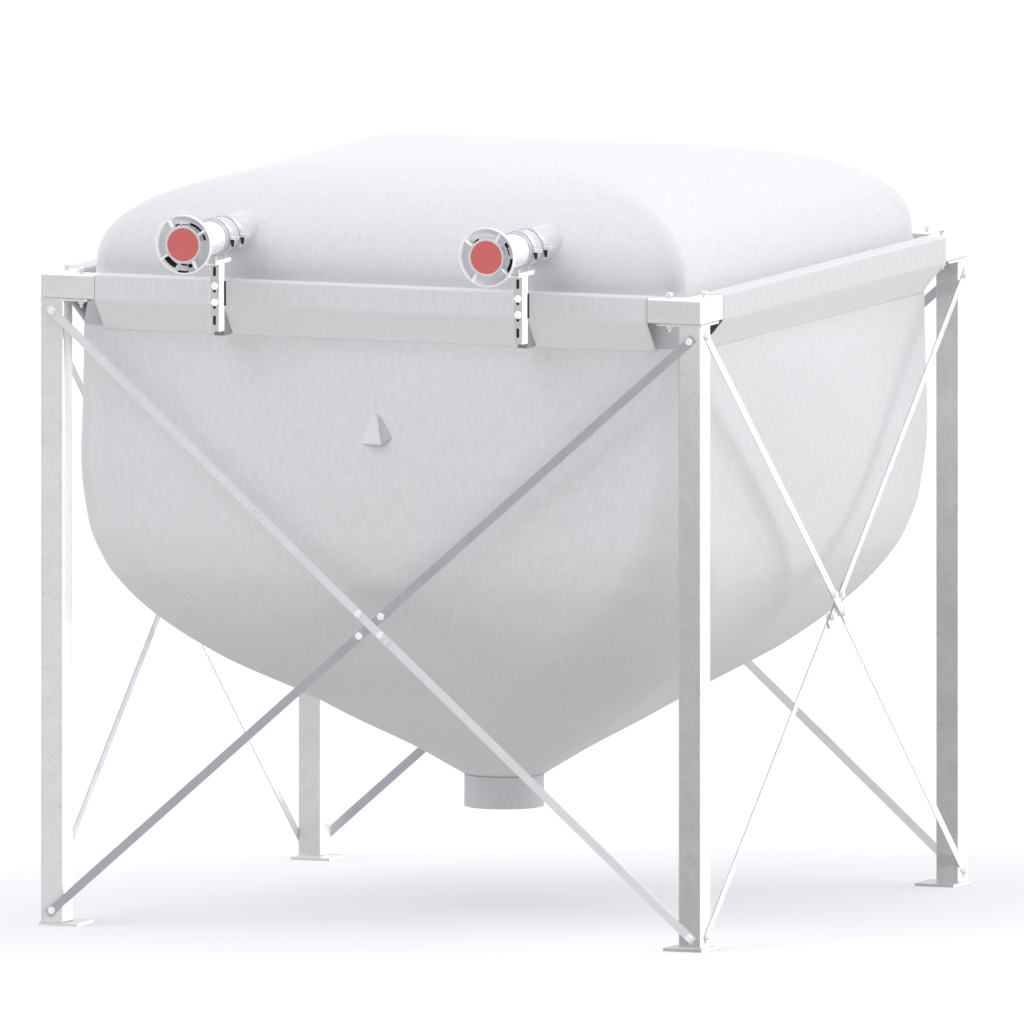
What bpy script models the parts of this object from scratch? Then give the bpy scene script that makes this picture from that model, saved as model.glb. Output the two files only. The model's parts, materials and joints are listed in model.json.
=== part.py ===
"""Fabric pellet silo on a square steel frame, in metres, with +Z up and the fillers facing -Y.

The bag hangs from four rails by fabric hems. Its roof is a dome, its bottom a hopper that turns
from a rounded square into a round spout. Two capped filling pipes enter the roof at the front.
"""

import math

import bmesh
import bpy
from mathutils import Matrix, Vector

# Clearance between pieces that touch
GAP = 0.0003

# Frame
FRAME = 2.000
TUBE = 0.070
TUBE_EDGE = 0.005
FOOT_THICK = 0.008
FOOT_PLATE = 0.120
FOOT_OUT = 0.004
FRAME_TOP = FOOT_THICK + 1.831
CORNER_ARM = 0.163
CORNER_BOLT = 0.110
HEAD_ARM = 0.138
HEAD_THICK = 0.006
HEAD_IN = 0.0002
RAIL = 0.064
LEG_MIDDLE = TUBE / 2

# Hexagon bolts, across corners
BOLT_HEAD = 0.0196
BOLT_HEAD_HIGH = 0.006
NUT_HIGH = 0.008

# Crossed flat braces on the outer faces of the legs
BRACE_WIDE = 0.025
BRACE_THICK = 0.003
BRACE_LAP = 0.078
BRACE_END = 0.016
BRACE_BOLT = 0.044
BRACE_ENDS = {0: (FOOT_THICK + 0.034, FOOT_THICK + 1.714),
              2: (FOOT_THICK + 0.032, FOOT_THICK + 1.727)}
BRACE_SLOPES = {"rising": 1, "falling": -1}
BRACE_FLAT_END = 0.050
BRACE_FLAT_LAP = 0.100
LAYER = BRACE_THICK + GAP

# Fabric hems round the rails
FABRIC = 0.003
HEM_HIGH = 0.072
BAND_DROP = 0.090
BAND_IN = 0.074

# Bag: height, half width at mid side, corner radius, bulge of the side's middle
SEAM_ROOF = FOOT_THICK + 1.800
SEAM_HOPPER = FOOT_THICK + 1.115
SPOUT_TOP = FOOT_THICK + 0.362
SPOUT_LOW = FOOT_THICK + 0.270
SPOUT_RADIUS = 0.1125
ROOF_HALF = 0.8915
ROOF_CORNER = 0.054
ROOF_BASE = FOOT_THICK + 1.830
ROOF_RISE = 0.295
ROOF_POWER = 2.75
ROOF_ROUNDING = 3.0
SKIRT_UPRIGHT = 0.006
SHOULDER_HALF = 0.9060
SHOULDER_CORNER = 0.070
WALL_STATIONS = (
    (ROOF_BASE, ROOF_HALF, ROOF_CORNER, 0.000),
    (SEAM_ROOF, SHOULDER_HALF, SHOULDER_CORNER, 0.000),
    (FOOT_THICK + 1.670, 0.9260, 0.088, 0.000),
    (FOOT_THICK + 1.570, 0.9300, 0.100, 0.022),
    (FOOT_THICK + 1.450, 0.9335, 0.105, 0.030),
    (FOOT_THICK + 1.280, 0.9395, 0.120, 0.025),
    (SEAM_HOPPER, 0.9360, 0.175, 0.016),
    (SEAM_HOPPER - 0.030, 0.9315, 0.192, 0.014),
)
HOPPER_STATIONS = (
    (SEAM_HOPPER + 0.030, 0.9390, 0.158, 0.018),
    (SEAM_HOPPER, 0.9360, 0.175, 0.016),
    (FOOT_THICK + 1.005, 0.9180, 0.240, 0.012),
    (FOOT_THICK + 0.920, 0.8770, 0.275, 0.008),
    (FOOT_THICK + 0.827, 0.8060, 0.305, 0.005),
    (FOOT_THICK + 0.720, 0.6900, 0.335, 0.003),
    (FOOT_THICK + 0.621, 0.5350, 0.335, 0.000),
    (FOOT_THICK + 0.517, 0.3700, 0.275, 0.000),
    (FOOT_THICK + 0.445, 0.2450, 0.210, 0.000),
    (SPOUT_TOP, SPOUT_RADIUS, SPOUT_RADIUS, 0.000),
    (SPOUT_TOP - 0.020, SPOUT_RADIUS, SPOUT_RADIUS, 0.000),
)
CORNER_STEPS = 3
SIDE_STEPS = 6
ROOF_SIDE_STEPS = 2

# Small sewn hood at the middle of the front wall
HOOD_TOP = FOOT_THICK + 1.467
HOOD_HIGH = 0.083
HOOD_WIDE = 0.056
HOOD_OUT = 0.031

# Fillers, their stations along Y counted from the frame's front face
FILLER_X = 0.459
FILLER_Z = FOOT_THICK + 1.958
PIPE_RADIUS = 0.0475
PIPE_WALL = 0.003
PIPE_FRONT = -0.228
PIPE_BACK = 0.300
CUFF_RADIUS = 0.0505
CUFF_FRONT = -0.068
CUFF_BACK = 0.260
CLAMP_STATIONS = (-0.039, 0.035)
CLAMP_WIDE = 0.022
CLAMP_THICK = 0.0015
RING_RADIUS = 0.0845
RING_FRONT = -0.270
CAP_FRONT = -0.272
CAP_RADIUS = 0.0532

# Filler bracket: slotted strut on the rail, channel on its top and two hollowed uprights
STRUT_WIDE = 0.0315
STRUT_DEEP = 0.035
STRUT_WALL = 0.0025
STRUT_TOP = FOOT_THICK + 1.8815
STRUT_HIGH = 0.191
SLOT_HIGH = 0.027
SLOT_WIDE = 0.008
SLOT_FIRST = 0.0215
SLOT_PITCH = 0.046
STRUT_BOLTS = (FOOT_THICK + 1.819, FOOT_THICK + 1.773)
CHANNEL_WIDE = 0.0312
CHANNEL_FRONT = -0.062
CHANNEL_BACK = 0.050
CHANNEL_HIGH = 0.0115
UPRIGHT_WIDE = 0.022
UPRIGHT_THICK = 0.005
UPRIGHT_STATIONS = (-0.0560, 0.0140)

ROUND_STEPS = 24

# The part's origin is under the middle of its bounding box, so the silo's axis stands behind it
BRACE_REACH = GAP + 3 * LAYER + BRACE_THICK + BOLT_HEAD_HIGH
SILO_Y = (-CAP_FRONT - BRACE_REACH) / 2
FRONT_Y = SILO_Y - FRAME / 2

GALVANISED = ("galvanised_steel", (0.60, 0.61, 0.62, 1.0), 0.35, 0.9)
STEEL = ("bright_steel", (0.72, 0.72, 0.73, 1.0), 0.20, 1.0)
CAST = ("polished_casting", (0.62, 0.62, 0.63, 1.0), 0.22, 1.0)
RED = ("red_cap", (0.58, 0.14, 0.14, 1.0), 0.45, 0.0)
CLOTH = ("woven_fabric", (0.78, 0.78, 0.80, 1.0), 0.85, 0.0)


def clear_scene():
    """Remove every object that the file starts with."""
    for item in list(bpy.data.objects):
        bpy.data.objects.remove(item, do_unlink=True)


def new_collection(name):
    """Make a collection under the scene's own one."""
    collection = bpy.data.collections.new(name)
    bpy.context.scene.collection.children.link(collection)
    return collection


def material(finish):
    """Return the Principled material of a finish, made once."""
    name, colour, roughness, metallic = finish
    found = bpy.data.materials.get(name)
    if found:
        return found
    made = bpy.data.materials.new(name)
    made.use_nodes = True
    shader = made.node_tree.nodes["Principled BSDF"]
    shader.inputs["Base Color"].default_value = colour
    shader.inputs["Roughness"].default_value = roughness
    shader.inputs["Metallic"].default_value = metallic
    return made


def add_object(name, bm, collection, finish=None, smooth=True):
    """Turn a bmesh into a linked object with its material and shading."""
    mesh = bpy.data.meshes.new(name)
    bm.to_mesh(mesh)
    bm.free()
    made = bpy.data.objects.new(name, mesh)
    collection.objects.link(made)
    if finish:
        mesh.materials.append(material(finish))
    if smooth:
        mesh.shade_smooth()
        mesh.set_sharp_from_angle(angle=math.radians(35))
    return made


def box_mesh(low, high):
    """Make a bmesh box between two corners."""
    bm = bmesh.new()
    bmesh.ops.create_cube(bm, size=1.0)
    size = Vector(high) - Vector(low)
    middle = (Vector(high) + Vector(low)) / 2
    bmesh.ops.scale(bm, vec=size, verts=bm.verts)
    bmesh.ops.translate(bm, vec=middle, verts=bm.verts)
    return bm


def round_edges(bm, axis, radius):
    """Round the edges of a bmesh that run along one axis."""
    edges = []
    for edge in bm.edges:
        along = edge.verts[1].co - edge.verts[0].co
        if abs(along[axis]) > 0.99 * along.length:
            edges.append(edge)
    bmesh.ops.bevel(bm, geom=edges, offset=radius, segments=2, profile=0.5,
                    affect="EDGES", clamp_overlap=True, material=-1)


def outline_mesh(points, depth):
    """Extrude a closed outline of 3-D points by a depth vector."""
    bm = bmesh.new()
    face = bm.faces.new([bm.verts.new(point) for point in points])
    extruded = bmesh.ops.extrude_face_region(bm, geom=[face])
    moved = [item for item in extruded["geom"] if isinstance(item, bmesh.types.BMVert)]
    bmesh.ops.translate(bm, vec=depth, verts=moved)
    bmesh.ops.recalc_face_normals(bm, faces=bm.faces)
    return bm


def cylinder_mesh(radius, length, steps, middle, axis):
    """Make a bmesh cylinder about a middle point, along X, Y or Z."""
    bm = bmesh.new()
    bmesh.ops.create_cone(bm, cap_ends=True, segments=steps, radius1=radius, radius2=radius,
                          depth=length)
    turn = {"X": Matrix.Rotation(math.pi / 2, 3, "Y"),
            "Y": Matrix.Rotation(math.pi / 2, 3, "X"),
            "Z": Matrix.Identity(3)}[axis]
    bmesh.ops.rotate(bm, cent=(0, 0, 0), matrix=turn, verts=bm.verts)
    bmesh.ops.translate(bm, vec=middle, verts=bm.verts)
    return bm


def combine(target, tool, operation):
    """Give a piece a Boolean modifier that joins or cuts it with a hidden tool."""
    tool.hide_render = True
    tool.display_type = "WIRE"
    modifier = target.modifiers.new(tool.name, "BOOLEAN")
    modifier.operation = operation
    modifier.solver = "EXACT"
    modifier.object = tool


def place(piece, location, turn=0.0):
    """Stand a piece at a point, turned about Z."""
    piece.location = location
    piece.rotation_euler = (0.0, 0.0, turn)


class Workshop:
    """The two collections that the silo's pieces and their tools go into."""

    def __init__(self):
        self.parts = new_collection("pellet_silo")
        self.tools = new_collection("tools")

    def part(self, name, bm, finish, smooth=True):
        """Add one piece of the silo."""
        return add_object(name, bm, self.parts, finish, smooth)

    def tool(self, name, bm):
        """Add one hidden tool for a Boolean."""
        return add_object(name, bm, self.tools, smooth=False)

    def join(self, target, name, bm):
        """Join a shape to a piece, in the piece's own frame."""
        tool = self.tool(name, bm)
        tool.parent = target
        combine(target, tool, "UNION")

    def cut(self, target, name, bm):
        """Cut a shape out of a piece, in the piece's own frame."""
        tool = self.tool(name, bm)
        tool.parent = target
        combine(target, tool, "DIFFERENCE")


def quarter_turns():
    """Give the four sides' names with their turn about the silo's axis."""
    return (("front", 0.0), ("right", math.pi / 2), ("rear", math.pi), ("left", -math.pi / 2))


def corner_turns():
    """Give the four corners' names with their turn from the front left one."""
    return (("front_left", 0.0), ("front_right", math.pi / 2),
            ("rear_right", math.pi), ("rear_left", -math.pi / 2))


def l_outline(low, arm, height):
    """Give the outline of an L of a tube's width, with its outer corner at the front left."""
    return [(low, low, height), (low + arm, low, height), (low + arm, low + TUBE, height),
            (low + TUBE, low + TUBE, height), (low + TUBE, low + arm, height),
            (low, low + arm, height)]


def corner_bolts():
    """Give X and Y of the two bolts that hold a corner piece on its leg."""
    low = -FRAME / 2
    return ((low + CORNER_BOLT, low + LEG_MIDDLE), (low + LEG_MIDDLE, low + CORNER_BOLT))


def make_leg(shop, name, turn):
    """Make a leg of square tube with its foot plate, its L-shaped head plate and two nuts."""
    low = -FRAME / 2
    top = FRAME_TOP - TUBE - GAP
    bm = box_mesh((low, low, FOOT_THICK / 2), (low + TUBE, low + TUBE, top - HEAD_THICK / 2))
    round_edges(bm, 2, TUBE_EDGE)
    leg = shop.part(name, bm, GALVANISED)
    head = outline_mesh(l_outline(low + HEAD_IN, HEAD_ARM, top - HEAD_THICK), (0.0, 0.0, HEAD_THICK))
    shop.join(leg, name + "_head", head)
    for number, (x, y) in enumerate(corner_bolts()):
        length = NUT_HIGH + HEAD_THICK / 2
        middle = (x, y, top - HEAD_THICK / 2 - length / 2)
        shop.join(leg, f"{name}_nut_{number}", cylinder_mesh(BOLT_HEAD / 2, length, 6, middle, "Z"))
    plate_low = low - FOOT_OUT
    plate_high = plate_low + FOOT_PLATE
    plate = box_mesh((plate_low, plate_low, 0.0), (plate_high, plate_high, FOOT_THICK))
    shop.join(leg, name + "_plate", plate)
    place(leg, (0.0, SILO_Y, 0.0), turn)


def make_corner(shop, name, turn):
    """Make the L of square tube that takes two rails, with a bolt's head on each arm."""
    low = -FRAME / 2
    bm = outline_mesh(l_outline(low, CORNER_ARM, FRAME_TOP - TUBE), (0.0, 0.0, TUBE))
    ends = low + CORNER_ARM - GAP
    edges = [edge for edge in bm.edges
             if max(vert.co.x for vert in edge.verts) < ends
             and max(vert.co.y for vert in edge.verts) < ends]
    long_edges = [edge for edge in bm.edges
                  if (edge.verts[0].co.x > ends) != (edge.verts[1].co.x > ends)
                  or (edge.verts[0].co.y > ends) != (edge.verts[1].co.y > ends)]
    bmesh.ops.bevel(bm, geom=edges + long_edges, offset=TUBE_EDGE, segments=2, profile=0.5,
                    affect="EDGES", clamp_overlap=True, material=-1)
    corner = shop.part(name, bm, GALVANISED)
    for number, (x, y) in enumerate(corner_bolts()):
        head = cylinder_mesh(BOLT_HEAD / 2, 2 * BOLT_HEAD_HIGH, 6, (x, y, FRAME_TOP), "Z")
        shop.join(corner, f"{name}_head_{number}", head)
    place(corner, (0.0, SILO_Y, 0.0), turn)


def make_rail(shop, name, turn):
    """Make one rail between two corner pieces."""
    half = FRAME / 2 - CORNER_ARM - GAP
    middle_y = -FRAME / 2 + LEG_MIDDLE
    middle_z = FRAME_TOP - TUBE / 2
    bm = box_mesh((-half, middle_y - RAIL / 2, middle_z - RAIL / 2),
                  (half, middle_y + RAIL / 2, middle_z + RAIL / 2))
    round_edges(bm, 0, TUBE_EDGE)
    rail = shop.part(name, bm, GALVANISED)
    place(rail, (0.0, SILO_Y, 0.0), turn)


def make_hem(shop, name, turn):
    """Make the fabric pocket round a rail, with the slanted band that carries the wall."""
    half = FRAME / 2 - CORNER_ARM - GAP
    front = -FRAME / 2
    top = FRAME_TOP + (HEM_HIGH - TUBE) / 2
    low = top - HEM_HIGH
    bm = box_mesh((-half, front, low), (half, front + TUBE, top))
    hem = shop.part(name, bm, CLOTH, smooth=False)
    middle_y = front + LEG_MIDDLE
    middle_z = FRAME_TOP - TUBE / 2
    bore = RAIL / 2 + GAP
    room = box_mesh((-half - 0.01, middle_y - bore, middle_z - bore),
                    (half + 0.01, middle_y + bore, middle_z + bore))
    shop.cut(hem, name + "_pocket", room)
    band_low = low - BAND_DROP
    band_in = front + BAND_IN - GAP
    band = [(-half, front, low + FABRIC / 2), (-half, front, low),
            (-half, band_in - FABRIC, band_low), (-half, band_in, band_low),
            (-half, band_in, band_low + FABRIC), (-half, front + FABRIC, low + FABRIC / 2)]
    shop.join(hem, name + "_band", outline_mesh(band, (2 * half, 0.0, 0.0)))
    place(hem, (0.0, SILO_Y, 0.0), turn)


def brace_half(layer, direction, reach):
    """Make one half of a diagonal, from its leg to just past the crossing.

    The bar runs in the XZ plane towards +X, in a frame whose origin is the crossing, and lies
    against the leg at its end bolt, a reach away, and in its own layer at the crossing.
    """
    rise = layer * LAYER
    stations = ((-reach - BRACE_END, 0.0), (-reach + BRACE_FLAT_END, 0.0),
                (-BRACE_FLAT_LAP, rise), (BRACE_LAP, rise))
    points = []
    for along, lift in stations:
        points.append((direction * along, -GAP - lift, -BRACE_WIDE / 2))
    for along, lift in reversed(stations):
        points.append((direction * along, -GAP - lift - BRACE_THICK, -BRACE_WIDE / 2))
    return outline_mesh(points, (0.0, 0.0, BRACE_WIDE))


def make_brace(shop, side, turn, kind, first_layer):
    """Make one diagonal: two lapped flat bars with their bolts."""
    name = f"brace_{side}_{kind}"
    slope = BRACE_SLOPES[kind]
    low, high = BRACE_ENDS[first_layer]
    span = FRAME - 2 * LEG_MIDDLE
    reach = math.hypot(span, high - low) / 2
    lower = brace_half(first_layer, slope, reach)
    upper = brace_half(first_layer + 1, -slope, reach)
    brace = shop.part(name, lower, GALVANISED, smooth=False)
    shop.join(brace, name + "_upper", upper)
    lap_inner = -GAP - first_layer * LAYER
    lap_outer = lap_inner - LAYER - BRACE_THICK
    for number, along in enumerate((-BRACE_BOLT, BRACE_BOLT)):
        middle = (along, (lap_inner + NUT_HIGH + lap_outer - BOLT_HEAD_HIGH) / 2, 0.0)
        length = NUT_HIGH + BOLT_HEAD_HIGH + lap_inner - lap_outer
        shop.join(brace, f"{name}_lap_bolt_{number}",
                  cylinder_mesh(BOLT_HEAD / 2, length, 6, middle, "Y"))
    for number, along in enumerate((-reach, reach)):
        middle = (along, -GAP - (BRACE_THICK + BOLT_HEAD_HIGH) / 2 - GAP, 0.0)
        shop.join(brace, f"{name}_end_bolt_{number}",
                  cylinder_mesh(BOLT_HEAD / 2, BRACE_THICK + BOLT_HEAD_HIGH - 2 * GAP, 6, middle, "Y"))
    tilt = math.atan2(high - low, span)
    spot = Matrix.Translation((0.0, SILO_Y, 0.0)) @ Matrix.Rotation(turn, 4, "Z")
    spot = spot @ Matrix.Translation((0.0, -FRAME / 2, (low + high) / 2))
    brace.matrix_world = spot @ Matrix.Rotation(-slope * tilt, 4, "Y")


def between(stations, height):
    """Read half width, corner radius and bulge of the bag at a height."""
    for upper, lower in zip(stations, stations[1:]):
        if height >= lower[0]:
            share = (height - lower[0]) / (upper[0] - lower[0])
            return tuple(low + share * (high - low) for low, high in zip(lower[1:], upper[1:]))
    return stations[-1][1:]


def side_point(half, radius, bulge, step, side_steps=SIDE_STEPS):
    """Give X and Y of a point on the front side of a rounded square that bulges at its middle.

    Step 0 is the middle of the left corner, and a negative step runs on round that corner.
    """
    flat = half - radius
    if step < CORNER_STEPS:
        angle = math.radians(45) * (CORNER_STEPS - step) / CORNER_STEPS
        return (-flat - radius * math.sin(angle), -flat - radius * math.cos(angle))
    if step > CORNER_STEPS + side_steps:
        x, y = side_point(half, radius, bulge, 2 * CORNER_STEPS + side_steps - step, side_steps)
        return (-x, y)
    share = 2 * (step - CORNER_STEPS) / side_steps - 1
    swell = bulge * (1 + math.cos(math.pi * share)) / 2
    return (flat * share, -half - swell)


def panel_mesh(stations, top, bottom):
    """Loft one side of the bag between its stations and trim it at its four seams."""
    steps = 2 * CORNER_STEPS + SIDE_STEPS + 2
    bm = bmesh.new()
    rows = []
    for height, half, radius, bulge in stations:
        row = []
        for step in range(steps + 1):
            x, y = side_point(half, radius, bulge, step - 1)
            row.append(bm.verts.new((x, y, height)))
        rows.append(row)
    for upper, lower in zip(rows, rows[1:]):
        for step in range(steps):
            bm.faces.new((upper[step], lower[step], lower[step + 1], upper[step + 1]))
    bm.normal_update()
    bmesh.ops.solidify(bm, geom=list(bm.faces), thickness=FABRIC)
    diagonal = GAP / math.sqrt(2) / 2
    for point, outward in (((0, 0, top - GAP / 2), (0, 0, 1)),
                           ((0, 0, bottom + GAP / 2), (0, 0, -1)),
                           ((0, -2 * diagonal, 0), (1, 1, 0)),
                           ((0, -2 * diagonal, 0), (-1, 1, 0))):
        bmesh.ops.bisect_plane(bm, geom=list(bm.verts) + list(bm.edges) + list(bm.faces),
                               plane_co=point, plane_no=outward, clear_outer=True, dist=1e-6)
        rim = [edge for edge in bm.edges if edge.is_boundary]
        bmesh.ops.holes_fill(bm, edges=rim, sides=0)
    bmesh.ops.recalc_face_normals(bm, faces=bm.faces)
    return bm


def make_panels(shop, side, turn):
    """Make one wall panel and the hopper panel below it."""
    wall = shop.part("wall_" + side, panel_mesh(WALL_STATIONS, SEAM_ROOF, SEAM_HOPPER), CLOTH)
    hopper = shop.part("hopper_" + side, panel_mesh(HOPPER_STATIONS, SEAM_HOPPER, SPOUT_TOP), CLOTH)
    place(wall, (0.0, SILO_Y, 0.0), turn)
    place(hopper, (0.0, SILO_Y, 0.0), turn)


def roof_stations():
    """Give height, half width and corner radius from the roof's skirt to its crown."""
    stations = [(height, SHOULDER_HALF, SHOULDER_CORNER)
                for height in (SEAM_ROOF + GAP / 2, SEAM_ROOF + SKIRT_UPRIGHT)]
    first = ROOF_CORNER / ROOF_HALF
    for degrees in (0, 1.5, 5, 11, 20, 33, 50, 68, 83):
        turn = math.radians(degrees)
        half = ROOF_HALF * math.cos(turn) ** (2 / ROOF_POWER)
        height = ROOF_BASE + ROOF_RISE * math.sin(turn) ** (2 / ROOF_POWER)
        roundness = first + (1 - first) * (1 - half / ROOF_HALF) ** ROOF_ROUNDING
        stations.append((height, half, half * roundness))
    return stations


def roof_mesh():
    """Loft the dome from rounded squares that turn round towards its crown."""
    bm = bmesh.new()
    rings = []
    for height, half, radius in roof_stations():
        ring = []
        for turn in (0.0, math.pi / 2, math.pi, -math.pi / 2):
            for step in range(2 * CORNER_STEPS + ROOF_SIDE_STEPS):
                x, y = side_point(half, radius, 0.0, step, ROOF_SIDE_STEPS)
                ring.append(bm.verts.new(Matrix.Rotation(turn, 3, "Z") @ Vector((x, y, height))))
        rings.append(ring)
    for lower, upper in zip(rings, rings[1:]):
        for spot in range(len(lower)):
            after = (spot + 1) % len(lower)
            bm.faces.new((lower[spot], lower[after], upper[after], upper[spot]))
    crown = bm.verts.new((0.0, 0.0, ROOF_BASE + ROOF_RISE))
    for spot in range(len(rings[-1])):
        bm.faces.new((rings[-1][spot], rings[-1][(spot + 1) % len(rings[-1])], crown))
    bmesh.ops.recalc_face_normals(bm, faces=bm.faces)
    return bm


def make_roof(shop):
    """Make the domed roof as a thin shell with a hole for each filler's sleeve."""
    roof = shop.part("roof", roof_mesh(), CLOTH)
    shell = roof.modifiers.new("shell", "SOLIDIFY")
    shell.thickness = FABRIC
    shell.offset = -1.0
    for number, x in enumerate((-FILLER_X, FILLER_X)):
        middle = (x, -FRAME / 2 + (CUFF_FRONT + CUFF_BACK) / 2, FILLER_Z)
        hole = cylinder_mesh(CUFF_RADIUS + GAP, CUFF_BACK - CUFF_FRONT + 0.02, ROUND_STEPS, middle, "Y")
        shop.cut(roof, f"sleeve_hole_{number}", hole)
    place(roof, (0.0, SILO_Y, 0.0))


def turned(shop, name, profile, finish, steps=ROUND_STEPS):
    """Turn a closed profile of radius and station about the Z axis."""
    bm = bmesh.new()
    verts = [bm.verts.new((radius, 0.0, station)) for radius, station in profile]
    for first, second in zip(verts, verts[1:]):
        bm.edges.new((first, second))
    if profile[0][0] > 0.0:
        bm.edges.new((verts[-1], verts[0]))
    piece = shop.part(name, bm, finish)
    screw = piece.modifiers.new("turned", "SCREW")
    screw.axis = "Z"
    screw.angle = 2 * math.pi
    screw.steps = steps
    screw.render_steps = steps
    screw.use_merge_vertices = True
    screw.merge_threshold = 0.00001
    screw.use_smooth_shade = True
    return piece


def make_spout(shop):
    """Make the round collar that the hopper ends in, open at both ends."""
    inner = SPOUT_RADIUS - FABRIC
    profile = [(SPOUT_RADIUS, SPOUT_TOP - GAP / 2), (SPOUT_RADIUS, SPOUT_LOW),
               (inner, SPOUT_LOW), (inner, SPOUT_TOP - GAP / 2)]
    spout = turned(shop, "spout", profile, CLOTH)
    place(spout, (0.0, SILO_Y, 0.0))


def make_hood(shop):
    """Make the small hood: half a cone against the wall, with its open mouth down."""
    half, _, bulge = between(WALL_STATIONS, HOOD_TOP - HOOD_HIGH)
    bm = bmesh.new()
    bmesh.ops.create_cone(bm, cap_ends=True, segments=16, radius1=HOOD_WIDE / 2, radius2=0.004,
                          depth=HOOD_HIGH)
    stretch = HOOD_OUT / (HOOD_WIDE / 2)
    bmesh.ops.scale(bm, vec=(1.0, stretch, 1.0), verts=bm.verts)
    bmesh.ops.bisect_plane(bm, geom=list(bm.verts) + list(bm.edges) + list(bm.faces),
                           plane_co=(0, 0, 0), plane_no=(0, 1, 0), clear_outer=True)
    rim = [edge for edge in bm.edges if edge.is_boundary]
    bmesh.ops.holes_fill(bm, edges=rim, sides=0)
    bmesh.ops.recalc_face_normals(bm, faces=bm.faces)
    hood = shop.part("wall_hood", bm, CLOTH)
    wall_y = SILO_Y - half - bulge - GAP
    place(hood, (0.0, wall_y, HOOD_TOP - HOOD_HIGH / 2))


def along_y(profile):
    """Turn stations along Y into stations along Z for a piece that is laid down afterwards."""
    return [(radius, -station) for radius, station in profile]


def lay_down(piece, x):
    """Lay a turned piece along Y on a filler's axis, its stations counted from the frame's front."""
    piece.location = (x, FRONT_Y, FILLER_Z)
    piece.rotation_euler = (math.pi / 2, 0.0, 0.0)


def make_pipe(shop, name, x):
    """Make the filling pipe, open at both ends."""
    inner = PIPE_RADIUS - PIPE_WALL
    profile = [(PIPE_RADIUS, PIPE_FRONT), (PIPE_RADIUS, PIPE_BACK),
               (inner, PIPE_BACK), (inner, PIPE_FRONT)]
    lay_down(turned(shop, name + "_pipe", along_y(profile), STEEL), x)


def make_sleeve(shop, name, x):
    """Make the roof's fabric sleeve round the pipe, with its two band clamps."""
    inner = PIPE_RADIUS + GAP
    band = CUFF_RADIUS + CLAMP_THICK
    profile = [(CUFF_RADIUS, CUFF_FRONT)]
    for station in CLAMP_STATIONS:
        near = station - CLAMP_WIDE / 2
        far = station + CLAMP_WIDE / 2
        profile += [(CUFF_RADIUS, near), (band, near), (band, far), (CUFF_RADIUS, far)]
    profile += [(CUFF_RADIUS, CUFF_BACK), (inner, CUFF_BACK), (inner, CUFF_FRONT)]
    lay_down(turned(shop, name + "_sleeve", along_y(profile), CLOTH), x)


def make_coupling(shop, name, x):
    """Make the hose coupling: a wide dished ring that narrows to a neck round the pipe."""
    neck = PIPE_RADIUS + GAP
    bore = CAP_RADIUS + GAP
    rim = RING_RADIUS - 0.0045
    profile = [(RING_RADIUS, RING_FRONT), (RING_RADIUS, RING_FRONT + 0.012),
               (0.062, RING_FRONT + 0.044), (0.054, RING_FRONT + 0.056),
               (0.054, RING_FRONT + 0.078), (neck, RING_FRONT + 0.078),
               (neck, PIPE_FRONT - GAP), (bore, PIPE_FRONT - 0.005),
               (bore, RING_FRONT + 0.026), (0.062, RING_FRONT + 0.024),
               (rim - 0.003, RING_FRONT + 0.008), (rim, RING_FRONT)]
    lay_down(turned(shop, name + "_coupling", along_y(profile), CAST), x)


def make_cap(shop, name, x):
    """Make the blind cap that closes the coupling."""
    back = PIPE_FRONT - 0.006
    profile = [(0.0, CAP_FRONT), (CAP_RADIUS - 0.002, CAP_FRONT), (CAP_RADIUS, CAP_FRONT + 0.002),
               (CAP_RADIUS, back), (0.0, back)]
    lay_down(turned(shop, name + "_cap", along_y(profile), RED), x)


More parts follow.
